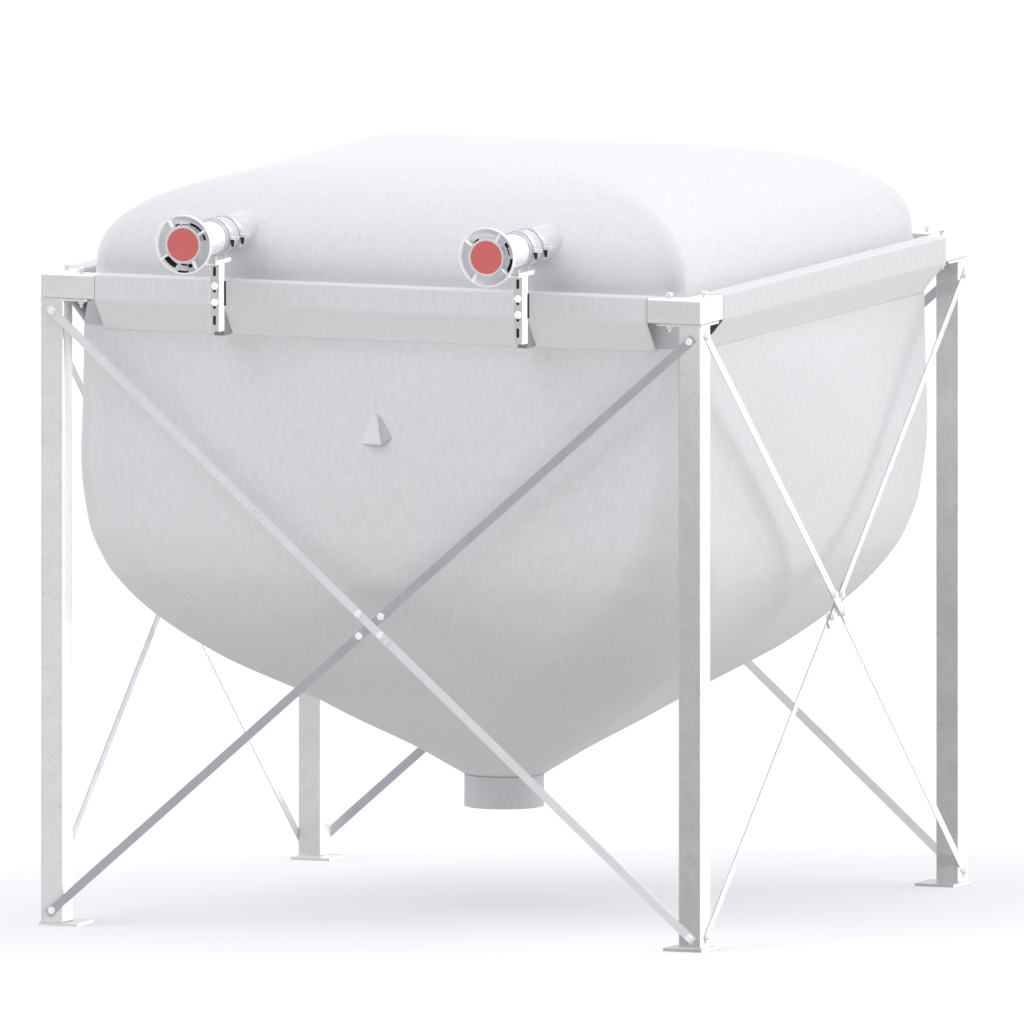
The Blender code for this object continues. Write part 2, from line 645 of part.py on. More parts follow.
def make_bracket(shop, name, x):
    """Make a filler's bracket: slotted strut, bolts, channel and two uprights under the pipe."""
    low = STRUT_TOP - STRUT_HIGH
    half = STRUT_WIDE / 2
    front = -STRUT_DEEP
    inner = half - STRUT_WALL
    outline = [(-half, front), (half, front), (half, -GAP), (inner, -GAP), (inner, front + STRUT_WALL),
               (-inner, front + STRUT_WALL), (-inner, -GAP), (-half, -GAP)]
    bm = outline_mesh([(px, py, low) for px, py in outline], (0.0, 0.0, STRUT_HIGH))
    bracket = shop.part(name + "_bracket", bm, STEEL, smooth=False)
    for number in range(4):
        centre = STRUT_TOP - SLOT_FIRST - number * SLOT_PITCH
        slot = box_mesh((-SLOT_WIDE / 2, front - 0.005, centre - SLOT_HIGH / 2),
                        (SLOT_WIDE / 2, front + 0.005, centre + SLOT_HIGH / 2))
        shop.cut(bracket, f"{name}_slot_{number}", slot)
    for number, height in enumerate(STRUT_BOLTS):
        bolt = cylinder_mesh(BOLT_HEAD / 2, BOLT_HEAD_HIGH + STRUT_WALL / 2, 6,
                             (0.0, front - (BOLT_HEAD_HIGH - STRUT_WALL / 2) / 2, height), "Y")
        shop.join(bracket, f"{name}_bolt_{number}", bolt)
    outer = CHANNEL_WIDE / 2
    bed = outer - STRUT_WALL
    under = STRUT_TOP - STRUT_WALL / 2
    floor = STRUT_TOP + STRUT_WALL
    rim = STRUT_TOP + CHANNEL_HIGH
    section = [(-outer, under), (outer, under), (outer, rim), (bed, rim),
               (bed, floor), (-bed, floor), (-bed, rim), (-outer, rim)]
    channel = outline_mesh([(px, CHANNEL_FRONT, pz) for px, pz in section],
                           (0.0, CHANNEL_BACK - CHANNEL_FRONT, 0.0))
    shop.join(bracket, name + "_channel", channel)
    seat = CUFF_RADIUS + GAP
    for number, station in enumerate(UPRIGHT_STATIONS):
        upright = box_mesh((-UPRIGHT_WIDE / 2, station, floor - STRUT_WALL / 2),
                           (UPRIGHT_WIDE / 2, station + UPRIGHT_THICK, FILLER_Z - seat + 0.006))
        shop.join(bracket, f"{name}_upright_{number}", upright)
    pipe_room = cylinder_mesh(seat, 0.3, ROUND_STEPS, (0.0, 0.0, FILLER_Z), "Y")
    shop.cut(bracket, name + "_seat", pipe_room)
    place(bracket, (x, FRONT_Y, 0.0))


def main():
    """Build the silo."""
    clear_scene()
    shop = Workshop()
    for name, turn in corner_turns():
        make_leg(shop, "leg_" + name, turn)
        make_corner(shop, "corner_" + name, turn)
    for side, turn in quarter_turns():
        make_rail(shop, "rail_" + side, turn)
        make_hem(shop, "hem_" + side, turn)
        inner, outer = ("rising", "falling") if side in ("front", "right") else ("falling", "rising")
        make_brace(shop, side, turn, inner, 0)
        make_brace(shop, side, turn, outer, 2)
        make_panels(shop, side, turn)
    make_roof(shop)
    make_spout(shop)
    make_hood(shop)
    for name, x in (("filler_left", -FILLER_X), ("filler_right", FILLER_X)):
        make_pipe(shop, name, x)
        make_sleeve(shop, name, x)
        make_coupling(shop, name, x)
        make_cap(shop, name, x)
        make_bracket(shop, name, x)


main()
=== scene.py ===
"""Looks of a fabric pellet silo: a woven bag that hangs in a galvanised frame, with two fillers.

Everything is in metres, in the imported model's frame: +Z up, the fillers towards -Y.
"""

import json
import logging
import math
from bisect import bisect_left, bisect_right
from dataclasses import dataclass
from enum import Enum
from typing import Callable, ClassVar, Iterable, Optional, Sequence

import bmesh
import bpy
from mathutils import Matrix, Vector, noise

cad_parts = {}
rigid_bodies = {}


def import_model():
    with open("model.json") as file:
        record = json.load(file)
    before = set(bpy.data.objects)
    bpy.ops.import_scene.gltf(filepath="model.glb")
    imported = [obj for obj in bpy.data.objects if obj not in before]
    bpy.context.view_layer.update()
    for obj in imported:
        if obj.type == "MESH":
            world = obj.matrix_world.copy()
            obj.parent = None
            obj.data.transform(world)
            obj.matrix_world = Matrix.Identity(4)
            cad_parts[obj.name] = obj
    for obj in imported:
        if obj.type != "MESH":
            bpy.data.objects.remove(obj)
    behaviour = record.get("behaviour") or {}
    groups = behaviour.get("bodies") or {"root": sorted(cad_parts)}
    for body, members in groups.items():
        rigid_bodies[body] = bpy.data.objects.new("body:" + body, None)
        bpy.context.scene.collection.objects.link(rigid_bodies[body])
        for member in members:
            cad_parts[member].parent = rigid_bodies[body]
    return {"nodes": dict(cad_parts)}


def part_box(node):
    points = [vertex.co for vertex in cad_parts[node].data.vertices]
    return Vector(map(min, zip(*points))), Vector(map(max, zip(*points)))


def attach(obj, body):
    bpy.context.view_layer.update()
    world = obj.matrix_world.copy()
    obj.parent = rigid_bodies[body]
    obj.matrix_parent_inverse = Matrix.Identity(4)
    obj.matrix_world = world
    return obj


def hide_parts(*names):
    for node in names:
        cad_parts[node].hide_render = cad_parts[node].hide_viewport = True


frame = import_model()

LOG = logging.getLogger("pellet_silo")
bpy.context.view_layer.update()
BODY = "root"
CLOTH_UV = "cloth"

SAME_PLACE = 1e-6
RIGHT_LEGS = ("leg_tube_front_right", "leg_tube_rear_right")

BMesh = bmesh.types.BMesh
Place = Callable[[float, float], Vector]


class Named(Enum):
    """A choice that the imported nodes' names hold."""

    @property
    def title(self) -> str:
        """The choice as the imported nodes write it."""
        return self.name.lower()


class Quarter(Named):
    """A place on the silo, counted in quarter turns about its axis."""

    @property
    def turn(self) -> float:
        """The place's turn about the silo's axis."""
        return math.pi / 2 * self.value


class Side(Quarter):
    """The silo's sides, by their quarter turns from the front."""

    FRONT = 0
    RIGHT = 1
    REAR = 2
    LEFT = 3


class Corner(Quarter):
    """The frame's corners, by their quarter turns from the front left one."""

    FRONT_LEFT = 0
    FRONT_RIGHT = 1
    REAR_RIGHT = 2
    REAR_LEFT = 3


class Slope(Named):
    """Which way a brace climbs, seen from outside."""

    RISING = 1
    FALLING = -1


class Lay(Enum):
    """A side's two diagonals, by the heights of their end bolts above the foot plates."""

    INNER = (0.034, 1.714)
    OUTER = (0.032, 1.727)

    @property
    def layer(self) -> int:
        """How many bars lie below the diagonal's lower bar at the crossing."""
        return 0 if self is Lay.INNER else 2


class Held(Enum):
    """How a sheet of cloth is held."""

    HUNG = "hung"
    STRETCHED = "stretched"
    FOLDED = "folded"
    GATHERED = "gathered"


@dataclass(frozen=True)
class Layout:
    """The places that every sub-assembly is set out from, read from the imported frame.

    Attributes:
        half: From the silo's axis to a leg's outer face.
        axis_y: The silo's axis along Y.
        tube: Width of the frame's square tube.
        foot: Thickness of a foot plate.
        top: Top of the frame's tubes.
    """

    TUBE: ClassVar[float] = 0.070
    FOOT: ClassVar[float] = 0.008

    half: float
    axis_y: float
    tube: float
    foot: float
    top: float

    @property
    def front_y(self) -> float:
        """The frame's front face along Y."""
        return self.axis_y - self.half

    @staticmethod
    def read() -> "Layout":
        """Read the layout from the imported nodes."""
        front_low, front_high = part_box("corner_front_left")
        _, rear_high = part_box("corner_rear_left")
        rail_low, rail_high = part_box("rail_front")
        wall = (Layout.TUBE - (rail_high.z - rail_low.z)) / 2
        return Layout(half=-front_low.x, axis_y=(front_low.y + rear_high.y) / 2,
                      tube=Layout.TUBE, foot=Layout.FOOT, top=rail_high.z + wall)


def linear(code: str) -> tuple[float, float, float, float]:
    """Turn an sRGB colour into a linear one.

    Args:
        code: The colour in hex, with its # sign.

    Returns:
        Linear red, green and blue, with a full alpha.
    """
    channels = [int(code[spot:spot + 2], 16) / 255 for spot in (1, 3, 5)]
    lit = [value / 12.92 if value <= 0.04045 else ((value + 0.055) / 1.055) ** 2.4
           for value in channels]
    return (lit[0], lit[1], lit[2], 1.0)


def feed(tree: bpy.types.NodeTree, node: bpy.types.Node, inputs: dict) -> None:
    """Link or set a node's inputs.

    Args:
        tree: The node's tree.
        node: The node.
        inputs: Input names or numbers, each with the socket or the value that feeds it. A node
            stands for its first output.
    """
    for key, value in inputs.items():
        if isinstance(value, bpy.types.Node):
            value = value.outputs[0]
        if isinstance(value, bpy.types.NodeSocket):
            tree.links.new(value, node.inputs[key])
        else:
            node.inputs[key].default_value = value


def add_node(tree: bpy.types.NodeTree, kind: str, inputs: Optional[dict] = None,
             **settings) -> bpy.types.Node:
    """Add a node with its settings and links.

    Args:
        tree: The tree that takes the node.
        kind: The shader node's type.
        inputs: What feeds its inputs, as in feed.
        settings: Properties of the node.

    Returns:
        The new node.
    """
    made = tree.nodes.new("ShaderNode" + kind)
    for key, value in settings.items():
        setattr(made, key, value)
    feed(tree, made, inputs or {})
    return made


def start_material(name: str) -> tuple[bpy.types.Material, bpy.types.NodeTree, bpy.types.Node]:
    """Make a material.

    Args:
        name: Its name.

    Returns:
        The material, its tree and its Principled shader.
    """
    made = bpy.data.materials.new(name)
    made.use_nodes = True
    return made, made.node_tree, made.node_tree.nodes["Principled BSDF"]


@dataclass(frozen=True)
class WovenPolyester:
    """White antistatic polyester cloth, woven and uncoated.

    The weave gives the eye a matt white with short, faint streaks along the warp, because the
    threads vary a little in thickness. Its real thread spacing of about 1 mm is too fine to
    show, so the weave is drawn at 5 mm.
    """

    name: str = "woven_polyester"
    slot: str = "fabric"
    colour: str = "#E7E7E8"
    shade: str = "#DEDEDF"
    streak_wide: float = 0.012
    streak_long: float = 0.055
    slub_wide: float = 0.007
    slub_long: float = 0.030
    tone_low: float = 0.70
    tone_high: float = 1.30
    thread: float = 0.005
    weave_high: float = 0.00012
    roughness: float = 0.88
    sheen: float = 0.10
    gloss: float = 0.25

    def material(self) -> bpy.types.Material:
        """Build the cloth's material on its UV map, which is in metres of cloth."""
        made, tree, shader = start_material(self.name)
        cloth = add_node(tree, "UVMap", uv_map=CLOTH_UV)
        streaks = add_node(tree, "Mapping", {
            "Vector": cloth, "Scale": (1 / self.streak_wide, 1 / self.streak_long, 1.0)})
        streak = add_node(tree, "TexNoise", {
            "Vector": streaks, "Scale": 1.0, "Detail": 3.0, "Roughness": 0.6})
        slubs = add_node(tree, "Mapping", {
            "Vector": cloth, "Scale": (1 / self.slub_wide, 1 / self.slub_long, 1.0)})
        slub = add_node(tree, "TexNoise", {
            "Vector": slubs, "Scale": 1.0, "Detail": 2.0, "Roughness": 0.7})
        tone = add_node(tree, "Math", {0: streak, 1: slub}, operation="ADD")
        spread = add_node(tree, "MapRange", {
            "Value": tone, "From Min": self.tone_low, "From Max": self.tone_high})
        colour = add_node(tree, "Mix", {
            0: spread, 6: linear(self.shade), 7: linear(self.colour)}, data_type="RGBA")
        waves = 2 * math.pi / self.thread
        threads = add_node(tree, "Mapping", {"Vector": cloth, "Scale": (waves, waves, 1.0)})
        parted = add_node(tree, "SeparateXYZ", {"Vector": threads})
        warp = add_node(tree, "Math", {0: parted.outputs["X"]}, operation="SINE")
        weft = add_node(tree, "Math", {0: parted.outputs["Y"]}, operation="SINE")
        weave = add_node(tree, "Math", {0: warp, 1: weft}, operation="MULTIPLY")
        bump = add_node(tree, "Bump", {
            "Height": weave, "Strength": 0.5, "Distance": self.weave_high})
        feed(tree, shader, {
            "Base Color": colour.outputs[2], "Normal": bump, "Roughness": self.roughness,
            "Sheen Weight": self.sheen, "Specular IOR Level": self.gloss})
        return made


@dataclass(frozen=True)
class ZincSteel:
    """Steel under zinc, hot-dipped or plated.

    Hot dipping gives the eye a dull light grey with a faint spangle of crystals a few millimetres
    wide, dull smudges, a few dark specks and patches of fine scratches. Plating gives it the same
    grey without the crystals.
    """

    name: str = "galvanised_steel"
    slot: str = "galvanised"
    colour: str = "#DFDFDE"
    shade: str = "#D1D1D0"
    dirt: str = "#6B6C72"
    scratched: str = "#77787D"
    crystal: float = 0.008
    crystal_share: float = 0.10
    smudge: float = 0.110
    smudge_range: tuple[float, float] = (0.35, 0.65)
    speck: float = 0.012
    speck_range: tuple[float, float] = (0.66, 0.74)
    speck_dark: float = 0.35
    speck_share: float = 1.0
    scratch: float = 0.016
    scratch_range: tuple[float, float] = (0.020, 0.070)
    scratch_share: float = 0.30
    patch_range: tuple[float, float] = (0.60, 0.68)
    wander: float = 0.030
    metal: float = 0.60
    roughness: float = 0.46
    polish: float = 0.36
    polish_range: tuple[float, float] = (0.30, 0.70)

    def material(self) -> bpy.types.Material:
        """Build the steel's material on Object coordinates."""
        made, tree, shader = start_material(self.name)
        place = add_node(tree, "TexCoord").outputs["Object"]
        crystals = add_node(tree, "TexVoronoi", {"Vector": place, "Scale": 1 / self.crystal})
        grey = add_node(tree, "SeparateColor", {"Color": crystals.outputs["Color"]})
        smudges = add_node(tree, "TexNoise", {
            "Vector": place, "Scale": 1 / self.smudge, "Detail": 5.0, "Roughness": 0.65,
            "Distortion": 0.6})
        weighed = add_node(tree, "Math", {
            0: grey.outputs["Red"], 1: self.crystal_share, 2: smudges}, operation="MULTIPLY_ADD")
        tone = add_node(tree, "MapRange", {
            "Value": weighed, "From Min": self.smudge_range[0],
            "From Max": self.smudge_range[1] + self.crystal_share})
        colour = add_node(tree, "Mix", {
            0: tone, 6: linear(self.colour), 7: linear(self.shade)}, data_type="RGBA")
        specks = add_node(tree, "TexNoise", {
            "Vector": place, "Scale": 1 / self.speck, "Detail": 6.0, "Roughness": 0.8})
        dark = add_node(tree, "MapRange", {
            "Value": specks, "From Min": self.speck_range[0], "From Max": self.speck_range[1],
            "To Max": self.speck_dark * self.speck_share})
        marked = add_node(tree, "Mix", {
            0: dark, 6: colour.outputs[2], 7: linear(self.dirt)}, data_type="RGBA")
        bent = add_node(tree, "TexNoise", {
            "Vector": place, "Scale": 1 / self.wander, "Detail": 3.0})
        curved = add_node(tree, "VectorMath", {
            0: bent.outputs["Color"], 1: (self.wander,) * 3, 2: place}, operation="MULTIPLY_ADD")
        cells = add_node(tree, "TexVoronoi", {
            "Vector": curved, "Scale": 1 / self.scratch}, feature="DISTANCE_TO_EDGE")
        line = add_node(tree, "MapRange", {
            "Value": cells.outputs["Distance"], "From Min": self.scratch_range[0],
            "From Max": self.scratch_range[1], "To Min": 1.0, "To Max": 0.0})
        patch = add_node(tree, "TexNoise", {
            "Vector": place, "Scale": 1 / (3 * self.scratch), "Detail": 2.0})
        where = add_node(tree, "MapRange", {
            "Value": patch, "From Min": self.patch_range[0], "From Max": self.patch_range[1],
            "To Max": self.scratch_share * self.speck_share})
        lined = add_node(tree, "Math", {0: line, 1: where}, operation="MULTIPLY")
        base = add_node(tree, "Mix", {
            0: lined, 6: marked.outputs[2], 7: linear(self.scratched)}, data_type="RGBA")
        rough = add_node(tree, "MapRange", {
            "Value": smudges, "From Min": self.polish_range[0], "From Max": self.polish_range[1],
            "To Min": self.polish, "To Max": self.roughness})
        feed(tree, shader, {
            "Base Color": base.outputs[2], "Roughness": rough, "Metallic": self.metal})
        return made


@dataclass(frozen=True)
class TurnedMetal:
    """Smooth metal with the fine lines that turning, drawing or polishing leaves.

    The lines run along one axis and spread each highlight into a soft streak across them.
    """

    name: str = "polished_casting"
    slot: str = "casting"
    colour: str = "#EDEDEE"
    shade: str = "#E4E4E6"
    line: float = 0.0015
    run: float = 0.120
    axis: int = 1
    metal: float = 0.55
    polish: float = 0.28
    roughness: float = 0.34
    polish_range: tuple[float, float] = (0.30, 0.70)

    def material(self) -> bpy.types.Material:
        """Build the metal's material on Object coordinates."""
        made, tree, shader = start_material(self.name)
        place = add_node(tree, "TexCoord").outputs["Object"]
        scale = [1 / self.line] * 3
        scale[self.axis] = 1 / self.run
        lines = add_node(tree, "Mapping", {"Vector": place, "Scale": scale})
        fine = add_node(tree, "TexNoise", {"Vector": lines, "Scale": 1.0, "Detail": 2.0})
        colour = add_node(tree, "Mix", {
            0: fine, 6: linear(self.colour), 7: linear(self.shade)}, data_type="RGBA")
        rough = add_node(tree, "MapRange", {
            "Value": fine, "From Min": self.polish_range[0], "From Max": self.polish_range[1],
            "To Min": self.polish, "To Max": self.roughness})
        feed(tree, shader, {
            "Base Color": colour.outputs[2], "Roughness": rough, "Metallic": self.metal})
        return made


@dataclass(frozen=True)
class MouldedPlastic:
    """Plastic or rubber from a mould with a lightly eroded surface.

    The fine grain, 0.5 mm on the real thing and drawn at 1.5 mm, breaks the gloss into a soft,
    even sheen.
    """

    name: str = "red_plastic"
    slot: str = "red_disc"
    colour: str = "#DD6E6D"
    shade: str = "#D66766"
    grain: float = 0.0015
    roughness: float = 0.50

    def material(self) -> bpy.types.Material:
        """Build the plastic's material on Object coordinates."""
        made, tree, shader = start_material(self.name)
        place = add_node(tree, "TexCoord").outputs["Object"]
        grain = add_node(tree, "TexNoise", {
            "Vector": place, "Scale": 1 / self.grain, "Detail": 3.0})
        cloud = add_node(tree, "TexNoise", {
            "Vector": place, "Scale": 1 / (20 * self.grain), "Detail": 2.0})
        colour = add_node(tree, "Mix", {
            0: cloud, 6: linear(self.colour), 7: linear(self.shade)}, data_type="RGBA")
        bump = add_node(tree, "Bump", {
            "Height": grain, "Strength": 0.3, "Distance": self.grain / 10})
        feed(tree, shader, {
            "Base Color": colour.outputs[2], "Normal": bump, "Roughness": self.roughness})
        return made


Finish = WovenPolyester | ZincSteel | TurnedMetal | MouldedPlastic


class FinishRack:
    """The silo's finishes, each made once and handed out by its own name."""

    cloth = WovenPolyester()
    collar = WovenPolyester(name="coated_collar", colour="#D2D2D4", shade="#CBCBCE",
                            streak_long=0.040)
    # Darker grey cloth: painted shade on the wall's top under the corner tubes and on the hood's
    # right face.
    tape = WovenPolyester(name="grey_edge_tape", colour="#CBCBCE", shade="#C4C4C7")
    # Lighter cloth: painted light on the hems' slanted bands, which face downwards.
    webbing = WovenPolyester(name="dense_webbing", colour="#F3F3F4", shade="#EEEEEF")
    tube = ZincSteel()
    # Darker galvanised steel for the right-hand legs: painted shade.
    dull_tube = ZincSteel(name="weathered_galvanised_steel", colour="#D3D3D2", shade="#C5C5C4")
    pale_bar = ZincSteel(name="plated_bar", colour="#F8F8F9", shade="#ECECEE", crystal_share=0.06,
                         speck_share=0.5, metal=0.45, roughness=0.40, polish=0.30)
    lilac_bar = ZincSteel(name="passivated_bar", colour="#C4C4CB", shade="#B5B5BD",
                          crystal_share=0.06, speck_share=0.6, roughness=0.44, polish=0.34)
    fastener = ZincSteel(name="plated_fastener", slot="bright_steel", colour="#FCFCFC",
                         shade="#F2F2F3", crystal_share=0.0, speck_share=0.1, metal=0.35,
                         roughness=0.34, polish=0.26)
    # Near-black steel for the clamps' bolts: painted shade under the clamps' ears.
    dark_bolt = ZincSteel(name="oxide_black_bolt", slot="bright_steel", colour="#4A4A4D",
                          shade="#2E2E31", crystal_share=0.05, speck_share=0.2, roughness=0.45,
                          polish=0.30)
    weld = ZincSteel(name="galvanised_weld", colour="#E0E1E3", shade="#C4C5CA", crystal=0.003,
                     roughness=0.50, polish=0.36)
    strut = ZincSteel(name="plated_strut", slot="bright_steel", colour="#DADADC", shade="#CCCCCE",
                      crystal_share=0.04, speck_share=0.3, roughness=0.36, polish=0.26)
    pipe = TurnedMetal(name="drawn_pipe", slot="bright_steel", colour="#F8F8FB", shade="#ECECF3",
                       metal=0.55, polish=0.22, roughness=0.28)
    clamp = TurnedMetal(name="clamp_band", slot="bright_steel", colour="#DDDDE3",
                        shade="#D2D2DA", axis=0, metal=0.50, polish=0.28, roughness=0.36)
    # Slightly darker steel for the clamp bands' sides: painted shade.
    band_edge = TurnedMetal(name="rolled_band_edge", slot="bright_steel", colour="#DCDCE1",
                            shade="#CECED4", axis=0, metal=0.40)
    # Whiter steel for the strut's east side, its left fold and the channel: painted light.
    bright_strut = ZincSteel(name="bright_strut_end", slot="bright_steel", colour="#FBFBFC",
                             shade="#F4F4F6", crystal_share=0.0, speck_share=0.0, metal=0.20,
                             roughness=0.45, polish=0.40)
    casting = TurnedMetal()
    # Whiter metal for the coupling's front rim, its ribs and the clamps' ears: painted highlight.
    rim = TurnedMetal(name="machined_rim", colour="#FCFCFC", shade="#F2F2F4", metal=0.60,
                      polish=0.30, roughness=0.40)
    red = MouldedPlastic()
    # Dark grey: painted shade on the slanted band below the strut, drawn as a wedge.
    rubber = MouldedPlastic(name="grey_rubber", slot="casting", colour="#7C7C7E", shade="#6E6E70",
                            roughness=0.8)
    # Black: painted shade in the coupling's slots, inside the strut and its slots, and as a strip
    # behind the strut.
    seal = MouldedPlastic(name="black_seal", slot="casting", colour="#17171A", shade="#1F1F22",
                          roughness=0.7)

    def __init__(self) -> None:
        """Start with no material made."""
        self.made: dict[str, bpy.types.Material] = {}

    def take(self, finish: Finish) -> bpy.types.Material:
        """Return a finish's material, made at its first use."""
        if finish.name not in self.made:
            self.made[finish.name] = finish.material()
        return self.made[finish.name]


def moved(bm: BMesh, turn: Optional[Matrix] = None, move: Sequence[float] = (0, 0, 0)) -> BMesh:
    """Turn a mesh about the origin, then move it.

    Args:
        bm: The mesh.
        turn: Its turn, or none.
        move: How far it moves.

    Returns:
        The same mesh.
    """
    if turn is not None:
        bmesh.ops.rotate(bm, cent=(0, 0, 0), matrix=turn, verts=bm.verts)
    bmesh.ops.translate(bm, vec=move, verts=bm.verts)
    return bm


def paint(faces: Iterable[bmesh.types.BMFace], number: int) -> None:
    """Give faces the material of a number."""
    for face in faces:
        face.material_index = number


def new_verts(grown: dict) -> list[bmesh.types.BMVert]:
    """Return the vertices that an extrusion has made."""
    return [item for item in grown["geom"] if isinstance(item, bmesh.types.BMVert)]


def box(low: Sequence[float], high: Sequence[float]) -> BMesh:
    """Make a box.

    Args:
        low: Its corner with the least X, Y and Z.
        high: Its opposite corner.

    Returns:
        The box's mesh.
    """
    first, last = Vector(low), Vector(high)
    bm = bmesh.new()
    bmesh.ops.create_cube(bm, size=1.0)
    bmesh.ops.scale(bm, vec=last - first, verts=bm.verts)
    return moved(bm, move=(last + first) / 2)


def bevel(bm: BMesh, edges: Iterable[bmesh.types.BMEdge], radius: float,
          segments: int = 2) -> None:
    """Round edges off."""
    bmesh.ops.bevel(bm, geom=list(edges), offset=radius, offset_type="OFFSET", segments=segments,
                    profile=0.5, affect="EDGES", clamp_overlap=True, material=-1)


def edges_along(bm: BMesh, axis: int) -> list[bmesh.types.BMEdge]:
    """Find the edges that run along one axis.

    Args:
        bm: The mesh.
        axis: 0 for X, 1 for Y and 2 for Z.

    Returns:
        The edges.
    """
    found = []
    for edge in bm.edges:
        along = edge.verts[1].co - edge.verts[0].co
        if abs(along[axis]) > 0.99 * along.length:
            found.append(edge)
    return found


def sharp_edges(bm: BMesh, degrees: float = 30.0) -> list[bmesh.types.BMEdge]:
    """Return the edges between faces that meet at more than an angle."""
    limit = math.radians(degrees)
    return [edge for edge in bm.edges
            if len(edge.link_faces) == 2 and edge.calc_face_angle(0.0) > limit]


def prism(outline: Sequence[Sequence[float]], depth: Sequence[float]) -> BMesh:
    """Extrude a closed outline.

    Args:
        outline: Its points in order.
        depth: The way and length of the extrusion.

    Returns:
        The solid's mesh.
    """
    bm = bmesh.new()
    face = bm.faces.new([bm.verts.new(point) for point in outline])
    grown = bmesh.ops.extrude_face_region(bm, geom=[face])
    bmesh.ops.translate(bm, vec=depth, verts=new_verts(grown))
    bmesh.ops.recalc_face_normals(bm, faces=bm.faces)
    return bm


def rod(radius: float, length: float, segments: int, middle: Sequence[float],
        edge: float = 0.0) -> BMesh:
    """Make an upright rod.

    Args:
        radius: Its radius.
        length: Its length along Z.
        segments: Faces round it.
        middle: Its middle point.
        edge: Radius of its rims, or 0 to leave them sharp.

    Returns:
        The rod's mesh.
    """
    bm = bmesh.new()
    bmesh.ops.create_cone(bm, cap_ends=True, segments=segments, radius1=radius, radius2=radius,
                          depth=length)
    if edge:
        bevel(bm, [item for item in bm.edges
                   if abs(item.verts[0].co.z - item.verts[1].co.z) < SAME_PLACE], edge)
    return moved(bm, move=middle)


def turned(profile: Sequence[Sequence[float]], steps: int, closed: bool = True) -> BMesh:
    """Spin a profile of radius and station round the Y axis.

    Args:
        profile: Radius and station along Y of each point.
        steps: Faces round the axis.
        closed: Whether the profile's last point joins its first.

    Returns:
        The turned shape, with its normals outwards.
    """
    bm = bmesh.new()
    verts = [bm.verts.new((radius, station, 0.0)) for radius, station in profile]
    edges = [bm.edges.new(pair) for pair in zip(verts, verts[1:])]
    if closed:
        edges.append(bm.edges.new((verts[-1], verts[0])))
    bmesh.ops.spin(bm, geom=verts + edges, cent=(0, 0, 0), axis=(0, 1, 0), angle=2 * math.pi,
                   steps=steps, use_merge=True)
    bmesh.ops.remove_doubles(bm, verts=bm.verts, dist=SAME_PLACE)
    bmesh.ops.recalc_face_normals(bm, faces=bm.faces)
    return bm


def join(*parts: BMesh) -> BMesh:
    """Put several meshes into one.

    Args:
        parts: The meshes. All but the first are freed.

    Returns:
        The first of them, which holds them all.
    """
    for part in parts[1:]:
        held = bpy.data.meshes.new("held")
        part.to_mesh(held)
        part.free()
        parts[0].from_mesh(held)
        bpy.data.meshes.remove(held)
    return parts[0]


def cloth_grid(columns: int, rows: int, place: Place, size: tuple[float, float]) -> BMesh:
    """Shape a grid into a surface of cloth with its UV map in metres.

    Args:
        columns: Faces across.
        rows: Faces down.
        place: Gives the point at a share across and a share down.
        size: Width and length of the cloth.

    Returns:
        The surface, welded where its sides meet.
    """
    bm = bmesh.new()
    uv = bm.loops.layers.uv.new(CLOTH_UV)
    bmesh.ops.create_grid(bm, x_segments=columns, y_segments=rows, size=0.5)
    for face in bm.faces:
        for loop in face.loops:
            spot = loop.vert.co
            loop[uv].uv = ((spot.x + 0.5) * size[0], (spot.y + 0.5) * size[1])
    for vert in bm.verts:
        vert.co = place(vert.co.x + 0.5, vert.co.y + 0.5)
    bmesh.ops.remove_doubles(bm, verts=bm.verts, dist=10 * SAME_PLACE)
    return bm


def face_outwards(bm: BMesh, middle: Vector) -> None:
    """Turn a surface's faces away from a point if most of it faces towards it.

    Args:
        bm: The surface.
        middle: The point.
    """
    bm.normal_update()
    facing = sum(face.normal.dot(face.calc_center_median() - middle) * face.calc_area()
                 for face in bm.faces)
    if facing < 0:
        bmesh.ops.reverse_faces(bm, faces=bm.faces)


def part_flats(mesh: bpy.types.Mesh, ratio: float = 4.0) -> None:
    """Mark the edges between a large face and a much narrower one as sharp.

    The large face is then shaded flat, and only the rounding beside it is shaded smooth.

    Args:
        mesh: The mesh, shaded smooth.
        ratio: How many times larger the one face is than the other.
    """
    largest = [0.0] * len(mesh.edges)
    least = [math.inf] * len(mesh.edges)
    for face in mesh.polygons:
        for loop in face.loop_indices:
            edge = mesh.loops[loop].edge_index
            largest[edge] = max(largest[edge], face.area)
            least[edge] = min(least[edge], face.area)
    for edge in mesh.edges:
        if largest[edge.index] > ratio * least[edge.index]:
            edge.use_edge_sharp = True


def put(name: str, data: bpy.types.ID) -> bpy.types.Object:
    """Put an object with its data into the scene, and return it."""
    made = bpy.data.objects.new(name, data)
    bpy.context.scene.collection.objects.link(made)
    return made


def smooth_step(value: float, low: float, high: float) -> float:
    """Rise smoothly from 0 at low to 1 at high."""
    share = min(1.0, max(0.0, (value - low) / (high - low)))
    return share * share * (3 - 2 * share)


